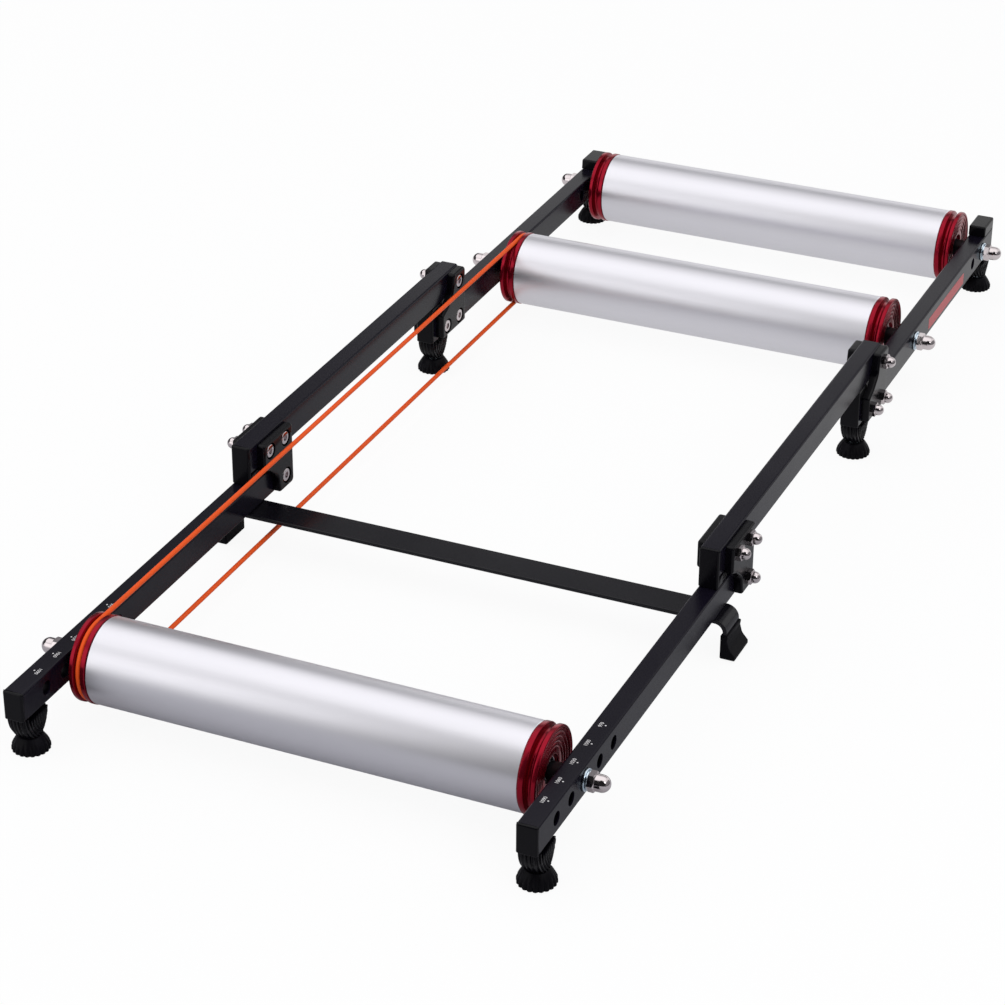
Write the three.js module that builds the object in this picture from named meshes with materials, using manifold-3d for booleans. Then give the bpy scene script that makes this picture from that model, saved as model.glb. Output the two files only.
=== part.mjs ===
// Folding bicycle training rollers. Three rollers lie across a frame of three
// hinged sections: the front section folds down and under the middle one, and
// the rear section folds up and over it. A round belt in the left end grooves
// turns the front roller with the one behind it. Millimetres, +Z up, +Y from the
// front roller towards the two rear ones, +X to the right seen from the front.
// The origin is on the floor under the middle of the whole.
import * as THREE from 'three';
import { mergeVertices } from 'three/addons/utils/BufferGeometryUtils.js';
import Module from 'manifold-3d';

const wasm = await Module();
wasm.setup();

// Clearances
const seatGap = 0.3;
const cutOverrun = 1;
const weldDistance = 0.0001;

// Rails, all cut from one rectangular steel tube
const railWidth = 19;
const railHeight = 28;
const railWall = 1.5;
const railCorner = 2;
const railSpacing = 470;
const railUnderside = 39;
const railPitch = 40;
const plugDepth = 4;

// Stations along the frame, from the front feet at zero
const frontPivotY = 440;
const rearPivotY = 838;
const railPastPivot = 10.5;
const middleRailAheadOfPlate = 16.5;
const rearRailAheadOfPlate = 9;

// Axle stations
const firstHoleY = 16;
const holeStep = 30;
const holeCount = 5;
const axleHoleIndex = 2;
const middleAxleBehind = 141;
const rearAxlesApart = 254;
const rearFootBehindAxle = 20;
const spareHoleAhead = 37.5;

// Hinge plates and their bolts
const plateThickness = 7.7;
const plateRounding = 2.5;
const plateEnd = 14;
const plateEndAhead = 13;
const plateBelowRailTop = 3.5;
const plateAboveRailFoot = 1.5;
const plateBelowRail = 2;
const plateHaunch = 6;
const plateCorner = 4;
const plateToeCorner = 7;
const plateThroatCorner = 10;
const plateThroatShares = { along: 0.58, up: 0.33 };
const boltSpacing = 30;
const boltDiameter = 8;
const boltHeadDiameter = 13;
const boltHeadHeight = 4.6;
const pocketDiameter = 16;
const pocketDepth = 5.5;
const boltNutFlats = 13;
const boltNutHexHeight = 4.5;
const boltNutDomeDiameter = 11;
const boltNutHeight = 11.5;
const boltEmbed = 1;
const boltSides = 6;
const headSides = 8;

// Rollers
const tubeDiameter = 78;
const tubeWall = 1.5;
const tubeBevel = 0.8;
const capRimStep = 0.6;
const capWidth = 16;
const capRunningGap = 0.7;
const capSpigotLength = 15;
const capEdge = 1;
const capRingWidth = 6;
const capRingStep = 1.4;
const capRippleCount = 2;
const capRippleDepth = 1.1;
const hubDiameter = 40;
const beltDiameter = 4.5;
const beltBelowRim = 1.35;
const grooveInset = 5;
const grooveFloorWidth = 4;
const grooveMouthWidth = 6.6;
const tubeSides = 24;
const capSides = 16;

// Axles, bearings and nuts
const axleDiameter = 12;
const axleThreadDiameter = 10;
const bearingDiameter = 28;
const bearingWidth = 8;
const bearingInset = 5;
const bearingRace = 2.2;
const bearingShieldStep = 0.6;
const collarDiameter = 18;
const washerDiameter = 20;
const washerThickness = 2;
const axleNutFlats = 16;
const axleNutHexHeight = 8;
const axleNutDomeDiameter = 15;
const axleNutHeight = 19.5;
const axleNutBoreDepth = 14;
const axleEndGap = 1.8;
const axleSides = 8;
const washerSides = 12;

// End caps, rest blocks and foot sockets
const capFace = 3;
const capBevel = 1.5;
const stopDepth = 25;
const restDepth = 34;
const stopSlotCount = 3;
const stopSlotHeight = 1.4;
const stopSlotDepth = 1.2;
const stopSlotLength = 11;
const socketHalfWidth = 11;
const socketBehindFoot = 18.5;
const socketFrontInset = 1.5;
const socketNeckRadius = 10.5;
const socketSlit = 3;
const socketSlitBehindFace = 4.5;
const socketRibCount = 14;
const socketRibDepth = 1;
const socketTopPower = 4.5;
const socketShoulderShares = { down: 0.6, taper: 0.3 };

// Feet, each set back from the face of the cap that holds it
const frontFootSetback = 22.5;
const middleFootSetback = 22;
const rearFootSetback = 21;
const footDiameter = 34;
const footNeckDiameter = 21;
const footRimHeight = 4;
const footPadHeight = 14.2;
const footDomeShares = { height: 0.55, width: 0.68 };
const footScallopCount = 12;
const footScallopDepth = 1;
const collarShown = 2;
const footCollarDiameter = 14;
const footCollarSunk = 4;
const studDiameter = 8;
const studLength = 17;

// Cross bar and its shoes
const barWidth = 33;
const barThickness = 4;
const barBend = 12;
const barAheadPivot = 46.5;
const barLegOut = 11.5;
const shoeClearance = 1;
const shoeHeight = 24;
const shoeWall = 1.5;
const shoeEndWall = 2;
const shoeFlare = 9;
const shoeSole = 4;
const shoeFlareShares = { start: 0.75, bend: 0.35 };
const legPocketDepth = 18;

// Places that follow from the sizes above
const lowRailZ = railUnderside + railHeight / 2;
const highRailZ = lowRailZ + railPitch;
const railBetween = railPitch - railHeight;
const railSide = railSpacing / 2;
const plateSeat = railWidth / 2 + seatGap;
const middleCapReach = boltSpacing + plateEndAhead + middleRailAheadOfPlate;
const rearCapReach = boltSpacing + plateEndAhead + rearRailAheadOfPlate;
const frontAxleY = firstHoleY + axleHoleIndex * holeStep;
const middleAxleY = rearPivotY + middleAxleBehind;
const rearAxleY = middleAxleY + rearAxlesApart;
const middleFootY = rearPivotY - rearCapReach + middleFootSetback;
const rearFootY = rearAxleY + rearFootBehindAxle;
const frontFaceY = -frontFootSetback;
const rearFaceY = rearFootY + rearFootSetback;
const capFaceX = railSide - plateSeat - plateThickness - capRunningGap;
const tubeLength = 2 * (capFaceX - capWidth);
const capRimRadius = tubeDiameter / 2 + capRimStep;
const tongueLength = rearCapReach - capFace - boltSpacing - boltDiameter / 2 - 2 * seatGap;
const beltLoopRadius = capRimRadius - beltBelowRim - beltDiameter / 2;

// Finishes
const finish = (color, roughness, metalness) =>
  new THREE.MeshStandardMaterial({ color, roughness, metalness });
const railPaint = finish(0x1b1a1e, 0.25, 0.3);
const mouldedNylon = finish(0x17171a, 0.55, 0);
const footRubber = finish(0x121214, 0.85, 0);
const satinAluminium = finish(0xc9c8d0, 0.35, 0.9);
const redAnodised = finish(0x7a0d1c, 0.3, 0.7);
const bearingSteel = finish(0x9a9aa0, 0.3, 0.9);
const chromePlate = finish(0xc6c2c4, 0.12, 1);
const beltUrethane = finish(0xf0501e, 0.45, 0);

// A closed geometry becomes a solid: its vertices are welded, slivers on an
// axis of revolution are dropped, and its faces are turned outwards.
function solidOf(geometry) {
  const bare = new THREE.BufferGeometry();
  bare.setAttribute('position', geometry.getAttribute('position').clone());
  bare.setIndex(geometry.index);
  const welded = mergeVertices(bare, weldDistance);
  const vertProperties = new Float32Array(welded.getAttribute('position').array);
  const index = welded.index.array;
  const triVerts = [];
  const corners = [new THREE.Vector3(), new THREE.Vector3(), new THREE.Vector3()];
  let volume = 0;
  for (let i = 0; i < index.length; i += 3) {
    const face = [index[i], index[i + 1], index[i + 2]];
    if (new Set(face).size < 3) continue;
    triVerts.push(...face);
    face.forEach((v, k) => corners[k].fromArray(vertProperties, v * 3));
    volume += corners[0].dot(corners[1].clone().cross(corners[2]));
  }
  if (volume < 0) triVerts.reverse();
  return new wasm.Manifold(
    new wasm.Mesh({ numProp: 3, vertProperties, triVerts: new Uint32Array(triVerts) })
  );
}

function geometryOf(solid) {
  const mesh = solid.getMesh();
  const geometry = new THREE.BufferGeometry();
  geometry.setAttribute('position', new THREE.BufferAttribute(mesh.vertProperties, 3));
  geometry.setIndex(new THREE.BufferAttribute(mesh.triVerts, 1));
  geometry.computeVertexNormals();
  return geometry;
}

function addPiece(parent, name, solid, material, x, y, z) {
  const mesh = new THREE.Mesh(geometryOf(solid), material);
  mesh.name = name;
  mesh.position.set(x, y, z);
  parent.add(mesh);
}

// Two values in rising order
const rising = (a, b) => (a < b ? [a, b] : [b, a]);

function block([x0, x1], [y0, y1], [z0, z1]) {
  const geometry = new THREE.BoxGeometry(x1 - x0, y1 - y0, z1 - z0);
  geometry.translate((x0 + x1) / 2, (y0 + y1) / 2, (z0 + z1) / 2);
  return solidOf(geometry);
}

// A rod along X between two places, round or with flat sides
function rodX(diameter, [x0, x1], y = 0, z = 0, sides = boltSides) {
  const radius = diameter / 2;
  const geometry = new THREE.CylinderGeometry(radius, radius, x1 - x0, sides);
  geometry.rotateZ(-Math.PI / 2);
  geometry.translate((x0 + x1) / 2, y, z);
  return solidOf(geometry);
}

function rodZ(diameter, [z0, z1], y = 0, sides = boltSides) {
  const radius = diameter / 2;
  const geometry = new THREE.CylinderGeometry(radius, radius, z1 - z0, sides);
  geometry.rotateX(Math.PI / 2);
  geometry.translate(0, y, (z0 + z1) / 2);
  return solidOf(geometry);
}

// The width across the corners of a shape with even flat sides. A bore made so
// keeps its clearance on its flats, also round a shaft that turns.
const acrossCorners = (flats, sides = 6) => flats / Math.cos(Math.PI / sides);
const boreX = (diameter, span, y, z, sides = boltSides) =>
  rodX(acrossCorners(diameter + 2 * seatGap, sides), span, y, z, sides);

// A profile of [radius, distance along +X] turned about X
function turnedX(profile, sides) {
  const points = profile.map(([radius, along]) => new THREE.Vector2(radius, along));
  const geometry = new THREE.LatheGeometry(points, sides);
  geometry.rotateZ(-Math.PI / 2);
  return solidOf(geometry);
}

// A closed outline of [u, v, corner radius] with its corners rounded
function roundedOutline(corners) {
  const shape = new THREE.Shape();
  corners.forEach(([u, v, radius], i) => {
    const corner = new THREE.Vector2(u, v);
    const towards = ([a, b]) => new THREE.Vector2(a, b).sub(corner).setLength(radius).add(corner);
    const start = towards(corners[(i + corners.length - 1) % corners.length]);
    const end = towards(corners[(i + 1) % corners.length]);
    if (i === 0) shape.moveTo(start.x, start.y);
    else shape.lineTo(start.x, start.y);
    shape.quadraticCurveTo(u, v, end.x, end.y);
  });
  shape.closePath();
  return shape;
}

// A rectangle with its corners rounded, by no more than a third of its width
function roundedRectangle([u0, u1], [v0, v1], radius) {
  const r = Math.min(radius, (u1 - u0) / 3, (v1 - v0) / 3);
  return roundedOutline([[u0, v0, r], [u1, v0, r], [u1, v1, r], [u0, v1, r]]);
}

// An outline in X and Z, drawn out along Y
function alongY(shape, [y0, y1], curveSegments = 2) {
  const geometry = new THREE.ExtrudeGeometry(shape, {
    depth: y1 - y0, bevelEnabled: false, curveSegments,
  });
  geometry.rotateX(Math.PI / 2);
  geometry.translate(0, y1, 0);
  return solidOf(geometry);
}

// An outline in X and Y, drawn out along Z
function alongZ(shape, [z0, z1], curveSegments = 2) {
  const geometry = new THREE.ExtrudeGeometry(shape, {
    depth: z1 - z0, bevelEnabled: false, curveSegments,
  });
  geometry.translate(0, 0, z0);
  return solidOf(geometry);
}

// Rings of points skinned one after another. An open loft is closed by a fan
// at each end, a loop is closed by joining its last ring to its first.
function loft(rings, loop = false) {
  const count = rings[0].length;
  const points = rings.flat();
  const index = [];
  const spans = loop ? rings.length : rings.length - 1;
  for (let k = 0; k < spans; k += 1) {
    const here = k * count;
    const next = ((k + 1) % rings.length) * count;
    for (let i = 0; i < count; i += 1) {
      const j = (i + 1) % count;
      index.push(here + i, here + j, next + j, here + i, next + j, next + i);
    }
  }
  const fan = (ring, start, turn) => {
    const centre = new THREE.Vector3();
    ring.forEach((point) => centre.addScaledVector(point, 1 / count));
    const tip = points.push(centre) - 1;
    for (let i = 0; i < count; i += 1) {
      const edge = [start + i, start + ((i + 1) % count)];
      index.push(...(turn ? edge : edge.reverse()), tip);
    }
  };
  if (!loop) {
    fan(rings[0], 0, false);
    fan(rings[rings.length - 1], (rings.length - 1) * count, true);
  }
  const geometry = new THREE.BufferGeometry().setFromPoints(points);
  geometry.setIndex(index);
  return solidOf(geometry);
}

// Rails

const half = { x: railWidth / 2, z: railHeight / 2 };
const railOutline = () => roundedRectangle([-half.x, half.x], [-half.z, half.z], railCorner);

// The rail's bore, and the tongue that fits in it, have square corners
function boreOutline(inset) {
  const x = half.x - inset;
  const z = half.z - inset;
  const corners = [[-x, -z], [x, -z], [x, z], [-x, z]];
  return new THREE.Shape(corners.map(([u, v]) => new THREE.Vector2(u, v)));
}

const boltHole = (y) => ({ y, diameter: boltDiameter, sides: boltSides });
const axleHole = (y) => ({ y, diameter: axleDiameter, sides: axleSides });

// A rail with bolt or axle holes through its sides, its rear end plugged where
// the plug shows
function railSolid([y0, y1], holes, plugged) {
  const section = railOutline();
  section.holes.push(boreOutline(railWall));
  let rail = alongY(section, [y0, y1]);
  if (plugged) rail = rail.add(alongY(railOutline(), [y1 - plugDepth, y1]));
  const reach = half.x + cutOverrun;
  for (const { y, diameter, sides } of holes) {
    rail = rail.subtract(boreX(diameter, [-reach, reach], y, 0, sides));
  }
  return rail;
}

// End caps. The face closes the rail's end, a tongue holds it inside the tube,
// and a block can reach below the rail (drop) or above it (raise) to meet the
// rail of the next section. The origin is at the rail's end, on the rail's
// centreline, and +Y runs into the rail.
function endCapSolid({ raise = 0, drop = 0, depth = capFace, slotted = false, foot = null }) {
  const rearY = depth - capFace;
  const outline = roundedRectangle([-half.x, half.x], [-capFace, Math.max(rearY, 0)], railCorner);
  let cap = alongZ(outline, [-half.z - drop, half.z + raise]);
  const wide = half.x + cutOverrun;
  const railRoom = [
    -half.z - (drop ? seatGap : cutOverrun), half.z + (raise ? seatGap : cutOverrun),
  ];
  cap = cap.subtract(block([-wide, wide], [-seatGap, depth + cutOverrun], railRoom));
  cap = cap.subtract(edgeBevel(half.z + raise, 1));
  if (drop) cap = cap.subtract(edgeBevel(half.z + drop, -1));
  cap = cap.add(alongY(boreOutline(railWall + seatGap), [-capFace / 2, tongueLength]));
  if (slotted) cap = cap.subtract(stopSlots(drop, rearY));
  return foot ? cap.add(footSocketSolid(foot)) : cap;
}

// The wedge that bevels a cap's front edge, at its top (way 1) or bottom (way -1)
function edgeBevel(reach, way) {
  const wide = half.x + cutOverrun;
  const front = -capFace - cutOverrun;
  const wedge = new THREE.Shape([
    new THREE.Vector2(front, way * (reach + cutOverrun)),
    new THREE.Vector2(front, way * (reach - capBevel - cutOverrun)),
    new THREE.Vector2(-capFace + capBevel + cutOverrun, way * (reach + cutOverrun)),
  ]);
  return alongX(wedge, [-wide, wide]);
}

// An outline in Y and Z, drawn out along X
function alongX(shape, [x0, x1]) {
  const geometry = new THREE.ExtrudeGeometry(shape, { depth: x1 - x0, bevelEnabled: false });
  geometry.applyMatrix4(yzPlane(1));
  geometry.translate(x0, 0, 0);
  return solidOf(geometry);
}

// Turns an outline drawn in X and Y into the plane of Y and Z, so that its
// depth runs along X the way that it faces
const yzPlane = (facing) => new THREE.Matrix4().makeBasis(
  new THREE.Vector3(0, 1, 0), new THREE.Vector3(0, 0, 1), new THREE.Vector3(facing, 0, 0)
);

// Short level slots in both sides of a stop block, near its rear edge
function stopSlots(drop, rearY) {
  const room = drop - seatGap;
  const pitch = room / (stopSlotCount + 1);
  const along = [rearY - railCorner - stopSlotLength, rearY - railCorner];
  const cuts = [];
  for (let i = 1; i <= stopSlotCount; i += 1) {
    const z = -half.z - seatGap - i * pitch;
    const across = [z - stopSlotHeight / 2, z + stopSlotHeight / 2];
    for (const facing of [-1, 1]) {
      const deep = rising(facing * (half.x - stopSlotDepth), facing * (half.x + cutOverrun));
      cuts.push(block(deep, along, across));
    }
  }
  return cuts.reduce((all, cut) => all.add(cut));
}

// A ribbed socket under the cap's face and the rail: a rounded oblong at the top
// that narrows to a round neck, with a bore for the foot's stud. It hangs from
// the face, and a slit parts it from the rail. setback is the distance of the
// foot behind the cap's face.
function footSocketSolid({ setback, footTop }) {
  const top = -half.z;
  const bottom = footTop + seatGap - lowRailZ;
  const centreY = setback - capFace;
  const count = 2 * socketRibCount;
  const ringAt = (z, taper) => {
    const halfX = THREE.MathUtils.lerp(socketHalfWidth, socketNeckRadius, taper);
    const power = THREE.MathUtils.lerp(socketTopPower, 2, taper);
    const ring = [];
    for (let i = 0; i < count; i += 1) {
      const angle = (i / count) * 2 * Math.PI;
      const c = Math.cos(angle);
      const s = Math.sin(angle);
      const topReach = s < 0 ? setback - socketFrontInset : socketBehindFoot;
      const halfY = THREE.MathUtils.lerp(topReach, socketNeckRadius, taper);
      const reach = (Math.abs(c) / halfX) ** power + (Math.abs(s) / halfY) ** power;
      const radius = reach ** (-1 / power) - (i % 2) * socketRibDepth;
      ring.push(new THREE.Vector3(radius * c, centreY + radius * s, z));
    }
    return ring;
  };
  const shoulder = THREE.MathUtils.lerp(top, bottom, socketShoulderShares.down);
  const rings = [
    ringAt(top, 0), ringAt(shoulder, socketShoulderShares.taper), ringAt(bottom, 1),
  ];
  const bore = [bottom - cutOverrun, bottom + studLength + seatGap];
  const wide = socketHalfWidth + cutOverrun;
  const far = centreY + socketBehindFoot + cutOverrun;
  const above = top + cutOverrun;
  const web = [-capFace + socketFrontInset + seatGap, -seatGap];
  return loft(rings)
    .subtract(block([-wide, wide], [-seatGap, far], [top - seatGap, above]))
    .subtract(block([-wide, wide], [socketSlitBehindFace - capFace, far],
      [top - seatGap - socketSlit, above]))
    .add(block([-socketNeckRadius / 2, socketNeckRadius / 2], web, [top - seatGap, above]))
    .subtract(rodZ(studDiameter + 2 * seatGap, bore, centreY));
}

// Hinge plates: one moulding in mirrored copies. The wide end takes two bolts
// through its own rail, the narrow end takes the pivot bolt in the rail of the
// next section. The origin is at the pivot, on the plate's rail side. upright
// is 1 with the wide end up and -1 with it down, and facing is the way along X
// that the moulded face looks.
const railBolts = [
  { along: 0, up: railPitch },
  { along: -boltSpacing, up: railPitch },
];
const pivotBolt = { along: 0, up: 0 };

function plateOutline(upright) {
  const front = -boltSpacing - plateEndAhead;
  const top = railPitch + half.z - plateBelowRailTop;
  const low = -half.z + plateAboveRailFoot;
  const waist = railPitch - half.z - plateBelowRail;
  const throat = {
    along: -boltSpacing * plateThroatShares.along,
    up: waist * plateThroatShares.up,
  };
  return roundedOutline([
    [front, top, plateCorner],
    [plateEnd, top, plateCorner],
    [plateEnd, low, plateToeCorner],
    [-plateEnd, low, plateCorner],
    [throat.along, throat.up, plateThroatCorner],
    [-boltSpacing, waist - plateHaunch, plateHaunch],
    [front, waist, plateCorner],
  ].map(([u, v, radius]) => [u, v * upright, radius]));
}

function plateSolid(upright, facing) {
  const geometry = new THREE.ExtrudeGeometry(plateOutline(upright), {
    depth: plateThickness - plateRounding, curveSegments: 2,
    bevelEnabled: true, bevelSegments: 1,
    bevelThickness: plateRounding, bevelSize: plateRounding, bevelOffset: -plateRounding,
  });
  geometry.applyMatrix4(yzPlane(facing));
  const far = 2 * (boltSpacing + railPitch + railHeight);
  const railSideRoom = rising(-facing * (plateRounding + cutOverrun), 0);
  return solidOf(geometry).subtract(block(railSideRoom, [-far, far], [-far, far]));
}

// The inner plate has a counterbored pocket for each bolt head
function innerPlateSolid(upright, facing) {
  let plate = plateSolid(upright, facing);
  const through = rising(-facing * cutOverrun, facing * (plateThickness + cutOverrun));
  const pocket = rising(
    facing * (plateThickness - pocketDepth), facing * (plateThickness + cutOverrun)
  );
  for (const { along, up } of [pivotBolt, ...railBolts]) {
    plate = plate
      .subtract(boreX(boltDiameter, through, along, up * upright))
      .subtract(rodX(pocketDiameter, pocket, along, up * upright, headSides));
  }
  return plate;
}

// A hexagon with a round dome on it, along +X from its seat at zero
function domedNutSolid({ flats, hexHeight, domeDiameter, height, sides }) {
  const radius = domeDiameter / 2;
  const crown = Math.min(radius, height - hexHeight);
  const steps = 2;
  const profile = [[0, 0], [radius, 0], [radius, height - crown]];
  for (let i = 1; i < steps; i += 1) {
    const angle = (i / steps) * (Math.PI / 2);
    profile.push([radius * Math.cos(angle), height - crown + crown * Math.sin(angle)]);
  }
  profile.push([0, height]);
  return rodX(acrossCorners(flats), [0, hexHeight], 0, 0, 6).add(turnedX(profile, sides));
}

// A bolt along X, its socket head in the inner plate's pocket and its domed nut
// outside. The origin is at the outer plate's rail side, and nutSeat is how far
// outside that the nut sits.
function boltSolid(facing, nutSeat, along, up) {
  const pocketFloor = -2 * plateSeat - plateThickness + pocketDepth;
  const headSeat = pocketFloor - seatGap;
  const headEnd = headSeat - boltHeadHeight;
  const bolt = rodX(boltDiameter, [headSeat - cutOverrun, nutSeat + cutOverrun])
    .add(rodX(boltHeadDiameter, [headEnd, headSeat], 0, 0, headSides))
    .add(domedNutSolid({
      flats: boltNutFlats,
      hexHeight: boltNutHexHeight,
      domeDiameter: boltNutDomeDiameter,
      height: boltNutHeight,
      sides: headSides,
    }).translate([nutSeat, 0, 0]));
  const turned = facing > 0 ? bolt : bolt.rotate([0, 0, 180]);
  return turned.translate([0, along, up]);
}

// The outer plate carries its rail's two bolts and is bored for the pivot bolt
function outerPlateSolid(upright, facing) {
  const bore = rising(-facing * cutOverrun, facing * (plateThickness + cutOverrun));
  let plate = plateSolid(upright, facing)
    .subtract(boreX(boltDiameter, bore, pivotBolt.along, pivotBolt.up));
  for (const { along, up } of railBolts) {
    plate = plate.add(boltSolid(facing, plateThickness - boltEmbed, along, up * upright));
  }
  return plate;
}

// Feet: a rubber pad with a scalloped rim and a dome up to its neck, on a
// threaded stud with a collar. shown is how much of the collar stands out above
// the pad. The origin is on the floor under the foot.
function footSolid(shown) {
  const count = 2 * footScallopCount;
  const rim = footDiameter / 2;
  const neck = footNeckDiameter / 2;
  const domeRise = (footPadHeight - footRimHeight) * footDomeShares.height;
  const domeWidth = THREE.MathUtils.lerp(neck, rim, footDomeShares.width);
  const levels = [
    { z: 0, radius: rim, scallop: footScallopDepth },
    { z: footRimHeight, radius: rim, scallop: footScallopDepth },
    { z: footRimHeight + domeRise, radius: domeWidth, scallop: footScallopDepth / 3 },
    { z: footPadHeight, radius: neck, scallop: 0 },
  ];
  const pad = loft(levels.map(({ z, radius, scallop }) => {
    const ring = [];
    for (let i = 0; i < count; i += 1) {
      const angle = (i / count) * 2 * Math.PI;
      const reach = radius - (i % 2) * scallop;
      ring.push(new THREE.Vector3(reach * Math.cos(angle), reach * Math.sin(angle), z));
    }
    return ring;
  }));
  const top = footPadHeight + shown;
  return pad
    .add(rodZ(footCollarDiameter, [footPadHeight - footCollarSunk, top]))
    .add(rodZ(studDiameter, [footRimHeight, top + studLength]));
}

// Rollers

function tubeSolid() {
  const radius = tubeDiameter / 2;
  const bore = radius - tubeWall;
  const end = tubeLength / 2;
  return turnedX([
    [bore, -end], [radius - tubeBevel, -end], [radius, -end + tubeBevel],
    [radius, end - tubeBevel], [radius - tubeBevel, end], [bore, end], [bore, -end],
  ], tubeSides);
}

// The end cap: a spigot in the tube, two flanges with the belt groove between
// them, a face that falls towards its hub in ripples, and the seat of the
// bearing. The origin is at the tube's end and +X runs outwards.
function rollerCapSolid() {
  const rim = capRimRadius;
  const tubeBoreFlats = (tubeDiameter / 2 - tubeWall) * Math.cos(Math.PI / tubeSides);
  const spigot = tubeBoreFlats - seatGap;
  const grooveFloor = beltLoopRadius - beltDiameter / 2 - seatGap;
  const grooveSlope = (grooveMouthWidth - grooveFloorWidth) / 2;
  const hub = hubDiameter / 2;
  const face = capWidth - capRingStep;
  const ripples = [];
  for (let i = 1; i < 2 * capRippleCount; i += 1) {
    const share = i / (2 * capRippleCount);
    const ridge = THREE.MathUtils.lerp(capWidth, face, share);
    ripples.push([
      THREE.MathUtils.lerp(rim - capRingWidth, hub, share),
      ridge - (i % 2) * capRippleDepth,
    ]);
  }
  return turnedX([
    [0, -capSpigotLength],
    [spigot, -capSpigotLength],
    [spigot, seatGap],
    [rim, seatGap],
    [rim, grooveInset],
    [grooveFloor, grooveInset + grooveSlope],
    [grooveFloor, grooveInset + grooveSlope + grooveFloorWidth],
    [rim, grooveInset + grooveMouthWidth],
    [rim, capWidth - capEdge],
    [rim - capEdge, capWidth],
    [rim - capRingWidth, capWidth],
    ...ripples,
    [hub, face],
    [0, face],
  ], capSides).subtract(bearingSeatSolid());
}

// The room bored in a roller cap: the bearing's seat and a lip behind it
function bearingSeatSolid() {
  const seat = bearingDiameter / 2 + seatGap;
  const seatBack = capWidth - bearingInset - bearingWidth - seatGap;
  const lip = seat - bearingRace - seatGap;
  return turnedX([
    [0, -capSpigotLength - cutOverrun],
    [lip, -capSpigotLength - cutOverrun],
    [lip, seatBack],
    [seat, seatBack],
    [seat, capWidth + cutOverrun],
    [0, capWidth + cutOverrun],
  ], washerSides);
}

function bearingSolid() {
  const outer = bearingDiameter / 2;
  const inner = axleDiameter / 2 + seatGap;
  const end = bearingWidth / 2;
  const shield = end - bearingShieldStep;
  return turnedX([
    [inner, -end], [outer, -end], [outer, end], [outer - bearingRace, end],
    [outer - bearingRace, shield], [inner, shield], [inner, -end],
  ], washerSides);
}

// The axle runs through both rails, with a thinner thread in each nut. A collar
// outside each bearing keeps the roller away from the rails.
function axleSolid() {
  const collar = [capFaceX - bearingInset + seatGap, railSide - plateSeat];
  const shoulder = railSide + half.x;
  const end = railSide + plateSeat + axleNutBoreDepth - axleEndGap;
  return rodX(axleDiameter, [-shoulder, shoulder], 0, 0, axleSides)
    .add(rodX(axleThreadDiameter, [-end, end], 0, 0, axleSides))
    .add(rodX(collarDiameter, collar, 0, 0, axleSides))
    .add(rodX(collarDiameter, [-collar[1], -collar[0]], 0, 0, axleSides));
}

function axleNutSolid(facing) {
  const nut = rodX(washerDiameter, [0, washerThickness], 0, 0, washerSides)
    .add(domedNutSolid({
      flats: axleNutFlats,
      hexHeight: washerThickness + axleNutHexHeight,
      domeDiameter: axleNutDomeDiameter,
      height: washerThickness + axleNutHeight,
      sides: headSides,
    }))
    .subtract(boreX(axleThreadDiameter, [-cutOverrun, axleNutBoreDepth], 0, 0, axleSides));
  return facing > 0 ? nut : nut.rotate([0, 0, 180]);
}

// The cross bar lies under the front rails, and its ends turn down outside them
function barOutline() {
  const legX = railSide + half.x + barLegOut;
  const top = railUnderside - seatGap;
  const foot = shoeClearance + shoeHeight - legPocketDepth;
  const bendX = legX - barBend;
  const bendZ = top - barBend;
  const inner = barBend - barThickness;
  const quarter = Math.PI / 2;
  const shape = new THREE.Shape();
  shape.moveTo(-legX, foot);
  shape.lineTo(-legX, bendZ);
  shape.absarc(-bendX, bendZ, barBend, 2 * quarter, quarter, true);
  shape.lineTo(bendX, top);
  shape.absarc(bendX, bendZ, barBend, quarter, 0, true);
  shape.lineTo(legX, foot);
  shape.lineTo(legX - barThickness, foot);
  shape.lineTo(legX - barThickness, bendZ);
  shape.absarc(bendX, bendZ, inner, 0, quarter, false);
  shape.lineTo(-bendX, top - barThickness);
  shape.absarc(-bendX, bendZ, inner, quarter, 2 * quarter, false);
  shape.lineTo(-legX + barThickness, foot);
  shape.closePath();
  return shape;
}

// A rubber shoe on the leg's end, straight inside and flared outside. The
// origin is on the floor under the leg's outer face.
function shoeSolid(facing) {
  const inside = -barThickness - shoeWall;
  const top = shoeClearance + shoeHeight;
  const at = (share) => shoeClearance + shoeHeight * share;
  const shape = new THREE.Shape();
  shape.moveTo(inside * facing, shoeClearance);
  shape.lineTo(inside * facing, top);
  shape.lineTo(shoeWall * facing, top);
  shape.lineTo(shoeWall * facing, at(shoeFlareShares.start));
  shape.quadraticCurveTo(
    shoeWall * facing, at(shoeFlareShares.bend), shoeFlare * facing, shoeClearance + shoeSole
  );
  shape.lineTo(shoeFlare * facing, shoeClearance);
  shape.closePath();
  const width = barWidth / 2 + shoeEndWall;
  const pocket = rising(-(barThickness + seatGap) * facing, seatGap * facing);
  const room = barWidth / 2 + seatGap;
  return alongY(shape, [-width, width], 4).subtract(
    block(pocket, [-room, room], [top - legPocketDepth - seatGap, top + cutOverrun])
  );
}

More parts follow.
